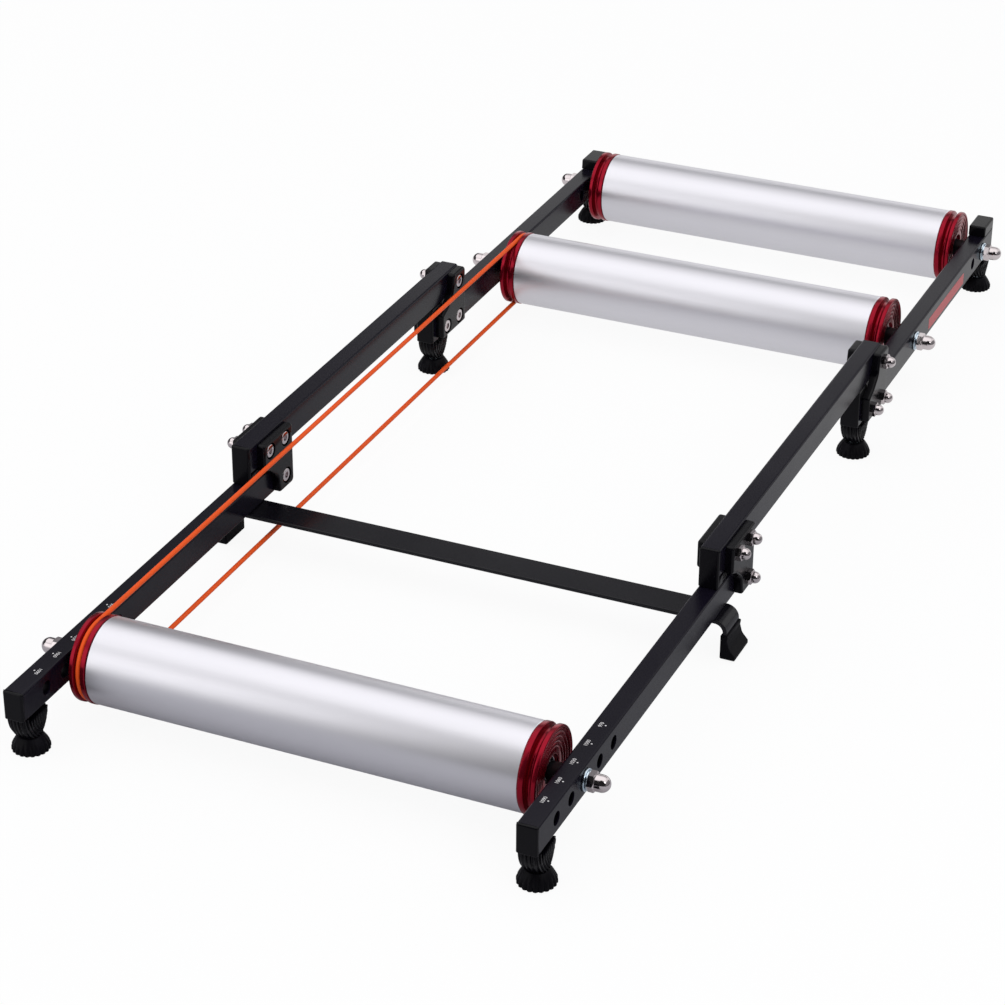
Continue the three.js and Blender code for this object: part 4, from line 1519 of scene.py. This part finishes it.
    def build(self) -> None:
        """Makes the three rollers and their axles."""
        drum, bevel, cap = self.drum(), self.bevel(), self.cap()
        races, seal, axle = self.races(), self.seal(), self.axle_shell()
        bearing_x = self.cap_face - self.bearing_inset - self.bearing_width / 2
        z = LAYOUT.low_rail
        for name, section, y in LAYOUT.axles:
            body, tube = f"{name}_roller", f"{name}_roller_tube"
            show(f"{name}_drum", drum.moved(0, y, z), DRUM, [tube], body)
            show(f"{name}_axle_rod", axle.moved(0, y, z), DARK_AXLE, [f"{name}_axle"], section.value)
            for side in Side:
                way, label = side.value, side.label
                edge = bevel.scaled(x=way).moved(0, y, z)
                show(f"{name}_drum_bevel_{label}", edge, DRUM_EDGE, [tube], body)
                node = f"{name}_roller_cap_{label}"
                shell = cap.moved(x=self.tube_end).scaled(x=way).moved(0, y, z)
                show(f"{node}_red", shell, RED, [node], body, sharp=50.0)
                node = f"{name}_bearing_{label}"
                at = (way * bearing_x, y, z)
                show(f"{node}_races", races.scaled(x=way).moved(*at), STEEL, [node], body)
                show(f"{node}_seal", seal.scaled(x=way).moved(*at), RUBBER, [node], body)


@dataclass
class AxleNuts:
    """The domed nuts and washers that clamp the axles to the rails."""

    washer: float = 10.0
    washer_bore: float = 5.3
    thickness: float = 1.7
    lock_washer: float = 8.7
    seat: float = 3.4
    flats: float = 16.0
    hex_height: float = 6.2
    chamfer: float = 1.2
    dome: float = 7.5
    height: float = 18.1

    def washer_shell(self) -> Shell:
        """A washer and a lock washer along +X with their edges broken.

        Returns:
            The closed surface of both.
        """
        t, r, bore = self.thickness, self.washer, self.washer_bore
        end, lock = self.seat, self.lock_washer
        return turned([
            (0, bore), (0, r - 0.3), (0.3, r), (t - 0.5, r), (t - 0.1, r - 0.3), (t, r - 0.8),
            (t, lock - 0.5), (t + 0.25, lock), (end - 0.25, lock), (end, lock - 0.3), (end, bore),
        ], 72)

    def nut(self) -> Shell:
        """The domed nut along +X: a hexagon and a dome."""
        hexagon = hex_prism(self.flats, self.hex_height, self.chamfer)
        return (hexagon + domed(self.dome, 1.0, self.height, 64)).moved(x=self.seat)

    def build(self) -> None:
        """Makes the six nuts with their washers."""
        looks = (("washer", self.washer_shell(), ZINC), ("dome", self.nut(), CHROME))
        for name, section, y in LAYOUT.axles:
            for side in Side:
                node = f"{name}_axle_nut_{side.label}"
                x = side.value * (LAYOUT.rail_side + LAYOUT.plate_seat)
                for label, shell, finish in looks:
                    at = shell.scaled(x=side.value).moved(x, y, LAYOUT.low_rail)
                    show(f"{node}_{label}", at, finish, [node], section.value)


@dataclass
class CrossBar:
    """The flat bar under the front rails, bent down into two rubber shoes."""

    width: float = 33.0
    thickness: float = 4.0
    bend: float = 12.0
    ahead: float = 46.5
    leg_out: float = 11.5
    rail_underside: float = 39.0
    shoe_base: float = 1.0
    shoe_height: float = 24.0
    shoe_wall: float = 1.5
    shoe_end_wall: float = 2.0
    shoe_flare: float = 9.0
    shoe_sole: float = 4.0
    shoe_sweep: float = 9.0
    shoe_lip: float = 2.6
    shoe_edge: float = 1.6
    strip_edge: float = 0.8
    in_shoe: float = 18.0

    @property
    def leg(self) -> float:
        """The bar's bent end, counted from the middle of the frame."""
        return LAYOUT.rail_side + LAYOUT.half_width + self.leg_out

    def bar(self) -> Shell:
        """The bent strip, seen from the front and drawn out along Y.

        Returns:
            The closed surface.
        """
        leg, inner, end = self.leg, self.leg - self.thickness, self.strip_edge
        top, bend = self.rail_underside - LAYOUT.gap, self.bend
        under, inner_bend = top - self.thickness, self.bend - self.thickness
        foot = self.shoe_base + self.shoe_height - self.in_shoe
        outline = filleted([
            (leg, foot, 0.3, 1), (leg, top, bend, 1), (-leg, top, bend, 1), (-leg, foot, 0.3, 1),
            (-inner, foot, 0.3, 1), (-inner, under, inner_bend, 1),
            (inner, under, inner_bend, 1), (inner, foot, 0.3, 1),
        ], 12)
        half = self.width / 2
        return moulding(outline, (-half, half), end, end, steps=3).placed(SEEN_FROM_FRONT)

    def shoe(self) -> Shell:
        """The right shoe: straight inside, a lip at its mouth, flared outside.

        Returns:
            The closed surface, its origin on the outside of the bar's end.
        """
        base, tall, flare = self.shoe_base, self.shoe_height, self.shoe_flare
        top, inside, wall = base + tall, -self.thickness - self.shoe_wall, self.shoe_wall
        outline = filleted([
            (inside, base, 1.5, 1), (flare, base, 1.2, 1), (flare, base + self.shoe_sole, 1.0, 1),
            (wall + 1.6, base + tall * 0.45, self.shoe_sweep, 1),
            (wall - 0.5, base + tall * 0.78, 3, 1),
            (wall, top - self.shoe_lip, 0.6, 1), (wall, top, 0.8, 1), (inside, top, 0.8, 1),
        ], 6)
        half, edge = self.width / 2 + self.shoe_end_wall, self.shoe_edge
        return moulding(outline, (-half, half), edge, edge).placed(SEEN_FROM_FRONT)

    def build(self) -> None:
        """Makes the bar and its shoes."""
        y = LAYOUT.front_pivot - self.ahead
        body = Section.FRONT.value
        show("cross_bar_strip", self.bar().moved(y=y), BAR_PAINT, ["cross_bar"], body)
        for side in Side:
            node = f"cross_bar_shoe_{side.label}"
            shell = self.shoe().scaled(x=side.value).moved(side.value * self.leg, y)
            show(f"{node}_rubber", shell, RUBBER, [node], body)


@dataclass
class DriveBelt:
    """The round belt in the left grooves of the front and middle rollers."""

    radius: float = 2.25
    loop_radius: float = 36.0
    groove_x: float = -209.1
    split: float = 640.0
    blend_reach: float = 45.0
    blend_level: float = 0.05
    arc_steps: int = 40
    still_steps: int = 16
    bend_steps: int = 48
    sides: int = 20

    def half(self, axle: float, pivot: float, way: int) -> Shell:
        """The belt from the split round one axle and back to the split.

        A circle is carried along a straight run, half a turn and a straight run;
        its own axes stay X and the normal of the path. The rings stand closer
        where the belt bends with the fold.

        Args:
            axle: the place of its roller's axle.
            pivot: the place of the pivot that it passes.
            way: 1 for the front half, -1 for the rear one.

        Returns:
            The closed surface.
        """
        near, far = pivot + way * self.blend_reach, pivot - way * self.blend_reach
        run = np.concatenate([
            np.linspace(self.split, near, self.still_steps)[:-1],
            np.linspace(near, far, self.bend_steps),
            np.linspace(far, axle, self.still_steps)[1:],
        ])
        angle = np.linspace(QUARTER_TURN, 3 * QUARTER_TURN, self.arc_steps)[1:-1]
        normal = np.concatenate([
            np.tile([0.0, 1.0], (len(run), 1)),
            np.column_stack([way * np.cos(angle), np.sin(angle)]),
            np.tile([0.0, -1.0], (len(run), 1)),
        ])
        centre = np.concatenate([run, np.full(len(angle), axle), run[::-1]])
        ring = ring_angles(self.sides)
        reach = self.loop_radius + self.radius * np.cos(ring)
        return loft(grid(
            self.groove_x + self.radius * np.sin(ring),
            centre[:, None] + reach * normal[:, :1],
            LAYOUT.low_rail + reach * normal[:, 1:],
        ))

    def build(self) -> None:
        """Makes both halves."""
        rows = [
            ("front", LAYOUT.front_axle, 1, Section.FRONT, LAYOUT.front_pivot),
            ("rear", LAYOUT.middle_axle, -1, Section.REAR, LAYOUT.rear_pivot),
        ]
        for name, axle, way, section, pivot in rows:
            half = self.half(axle, pivot, way)
            piece = show(f"drive_belt_{name}", half, BELT, ["drive_belt"], None)
            near, far = (pivot + step * way * self.blend_reach for step in (-1, 1))
            ends = [(0.0, (y - FRONT_FEET_Y) * METRES, self.blend_level) for y in (near, far)]
            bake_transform(piece)


@dataclass
class Studio:
    """The floor, the lights, the cards that shape the reflections, and the camera.

    Lengths are in metres here. The floor is lit by the lamps, and by a share it is
    white of its own: one share for the camera, one for glass, and for gloss one
    that rises and falls along Y.
    """

    world_grey: Colour = (0.96, 0.97, 1.0, 1)
    world_light: float = 0.7
    floor_size: float = 30.0
    floor_level: float = -0.0006
    floor_lit: Colour = (0.56, 0.56, 0.58, 1)
    floor_seen: Colour = (0.98, 0.98, 0.98, 1)
    floor_rise: tuple[float, float] = (-0.05, 0.3)
    floor_fall: tuple[float, float] = (0.85, 1.15)
    least_gloss: float = 0.02
    most_gloss: float = 0.59
    gloss_lost: float = -0.35
    card_blue: float = 1.04
    camera_share: float = 0.92
    glass_share: float = 0.5
    camera_place: Place = (0.98955, -2.40509, 1.39977)
    camera_right: Place = (0.913716, 0.406332, 0.004147)
    camera_up: Place = (-0.198804, 0.438102, 0.876666)
    camera_back: Place = (0.354401, -0.801848, 0.481082)
    lens: float = 106.362
    sensor: float = 36.0
    shift: tuple[float, float] = (0.000291, 0.005178)
    farthest: float = 60.0

    def world(self) -> None:
        """A white surround to look at, a soft grey one to light by."""
        made = bpy.data.worlds.new("studio")
        bpy.context.scene.world = made
        graph = Graph(made)
        path = graph.node("ShaderNodeLightPath", {}, {})
        seen = path.out("Is Camera Ray") + path.out("Is Glossy Ray")
        seen = seen + path.out("Is Transmission Ray")
        seen = seen.maths("MINIMUM", seen, 1.0)
        grey, white = (
            graph.node("ShaderNodeBackground", {}, {"Color": colour, "Strength": strength})
            for colour, strength in ((self.world_grey, self.world_light), ((1, 1, 1, 1), 1.0))
        )
        graph.surface(graph.blended(seen, grey, white), "World")

    def sheet(self, name: str, size: Size, material: Any) -> Any:
        """A flat sheet that faces up, its middle at the origin.

        Args:
            name: the object's name.
            size: its lengths along X and Y.
            material: what it is made of.

        Returns:
            The Blender object.
        """
        x, y = size[0] / 2, size[1] / 2
        mesh = bpy.data.meshes.new(name)
        mesh.from_pydata([(-x, -y, 0), (x, -y, 0), (x, y, 0), (-x, y, 0)], [], [(0, 1, 2, 3)])
        mesh.materials.append(material)
        return linked(name, mesh)

    def floor(self) -> None:
        """A pale floor that keeps a soft shadow and meets the white surround."""
        made = bpy.data.materials.new("floor")
        graph = Graph(made)
        path = graph.node("ShaderNodeLightPath", {}, {})
        camera, gloss = path.out("Is Camera Ray"), path.out("Is Glossy Ray")
        tone = graph.mixed(camera, self.floor_lit, self.floor_seen)
        matt = graph.node("ShaderNodeBsdfDiffuse", {}, {"Color": tone})
        white = graph.node("ShaderNodeEmission", {}, {"Color": (1, 1, 1, 1), "Strength": 1.0})
        along = graph.node("ShaderNodeSeparateXYZ", {}, {0: graph.place()}).out("Y")
        rise, fall = along.between(*self.floor_rise), along.between(*self.floor_fall)
        glow = rise * (fall * self.gloss_lost + self.most_gloss) + self.least_gloss
        glass = path.out("Is Transmission Ray") * self.glass_share
        share = camera * self.camera_share + gloss * glow + glass
        graph.surface(graph.blended(share, matt, white))
        floor = self.sheet("floor", (self.floor_size, self.floor_size), made)
        floor.location.z = self.floor_level

    def turn(self, item: Any, place: Place, aim: Place) -> None:
        """Puts a lamp or card in its place, turned towards a point.

        Args:
            item: the Blender object.
            place: where it stands.
            aim: the point that it faces.
        """
        item.location = place
        item.rotation_mode = "QUATERNION"
        item.rotation_quaternion = (Vector(aim) - Vector(place)).to_track_quat("-Z", "Y")

    def lamp(self, name: str, place: Place, aim: Place, size: Size, watts: float) -> None:
        """A soft box.

        Args:
            name: the lamp's name.
            place: where it stands.
            aim: the point that it faces.
            size: its width and height.
            watts: its power.
        """
        data = bpy.data.lights.new(name, "AREA")
        data.shape = "RECTANGLE"
        data.size, data.size_y = size
        data.energy = watts
        self.turn(linked(name, data), place, aim)

    def card(self, name: str, place: Place, aim: Place, size: Size, grey: float) -> None:
        """A grey card that only reflections see.

        Args:
            name: the card's name.
            place: where it stands.
            aim: the point that it faces.
            size: its width and height.
            grey: its brightness.
        """
        made = bpy.data.materials.new(name)
        graph = Graph(made)
        tone = (grey, grey, grey * self.card_blue, 1)
        graph.surface(graph.node("ShaderNodeEmission", {}, {"Color": tone, "Strength": 1.0}).out())
        card = self.sheet(name, size, made)
        self.turn(card, place, aim)
        card.visible_camera = False
        card.visible_shadow = False
        card.visible_diffuse = False

    def camera(self) -> None:
        """The camera of the photograph, as solved from the frame's own lines."""
        data = bpy.data.cameras.new("view")
        data.sensor_width = self.sensor
        data.lens = self.lens
        data.shift_x, data.shift_y = self.shift
        data.clip_end = self.farthest
        camera = linked("view", data)
        turn = Matrix((self.camera_right, self.camera_up, self.camera_back)).transposed().to_4x4()
        turn.translation = self.camera_place
        camera.matrix_world = turn
        bpy.context.scene.camera = camera

    def build(self) -> None:
        """Sets the stage."""
        bpy.context.scene.view_settings.view_transform = "Standard"
        self.world()
        self.floor()
        lamps = [
            # name, place, aim, size, watts
            ("overhead", (-1.0, -0.2, 2.35), (-1.0, -0.2, 0), (6.0, 2.6), 19.0),
            ("front", (-1.2, -3.4, 1.7), (0, 0, 0.05), (5.0, 2.0), 16.0),
            ("front_right", (1.9, -1.25, 1.5), (0, 0, 0.05), (0.8, 0.8), 6.0),
        ]
        cards = [
            # name, place, aim, size, grey
            ("rear_card", (-0.6, 3.0, 2.1), (0, 0, 0.2), (5.0, 1.1), 0.27),
            ("dark_room", (2.85, -1.5, 1.6), (2.85, 0, 1.6), (6.3, 3.1), 0.02),
            ("side_card", (2.6, 0.7, 0.8), (0, 0.7, 0.8), (4.4, 1.6), 0.25),
            ("ground_card", (1.75, -0.1, 0.012), (1.75, -0.1, 1.0), (2.5, 2.8), 0.12),
            ("left_card", (-1.6, 1.0, 0.6), (0, 1.0, 0.6), (4.0, 1.2), 0.06),
        ]
        for lamp in lamps:
            self.lamp(*lamp)
        for card in cards:
            self.card(*card)
        self.camera()


def main() -> None:
    """Builds every sub-assembly in order, then the studio."""
    logging.basicConfig(level=logging.INFO, format="%(name)s %(message)s")
    rails = Rails()
    rails.build()
    ScaleMarks().build(rails)
    for kind in (EndCaps, Feet, Hinges, Rollers, AxleNuts, CrossBar, DriveBelt, Studio):
        kind().build()


if __name__ == "__main__":
    main()
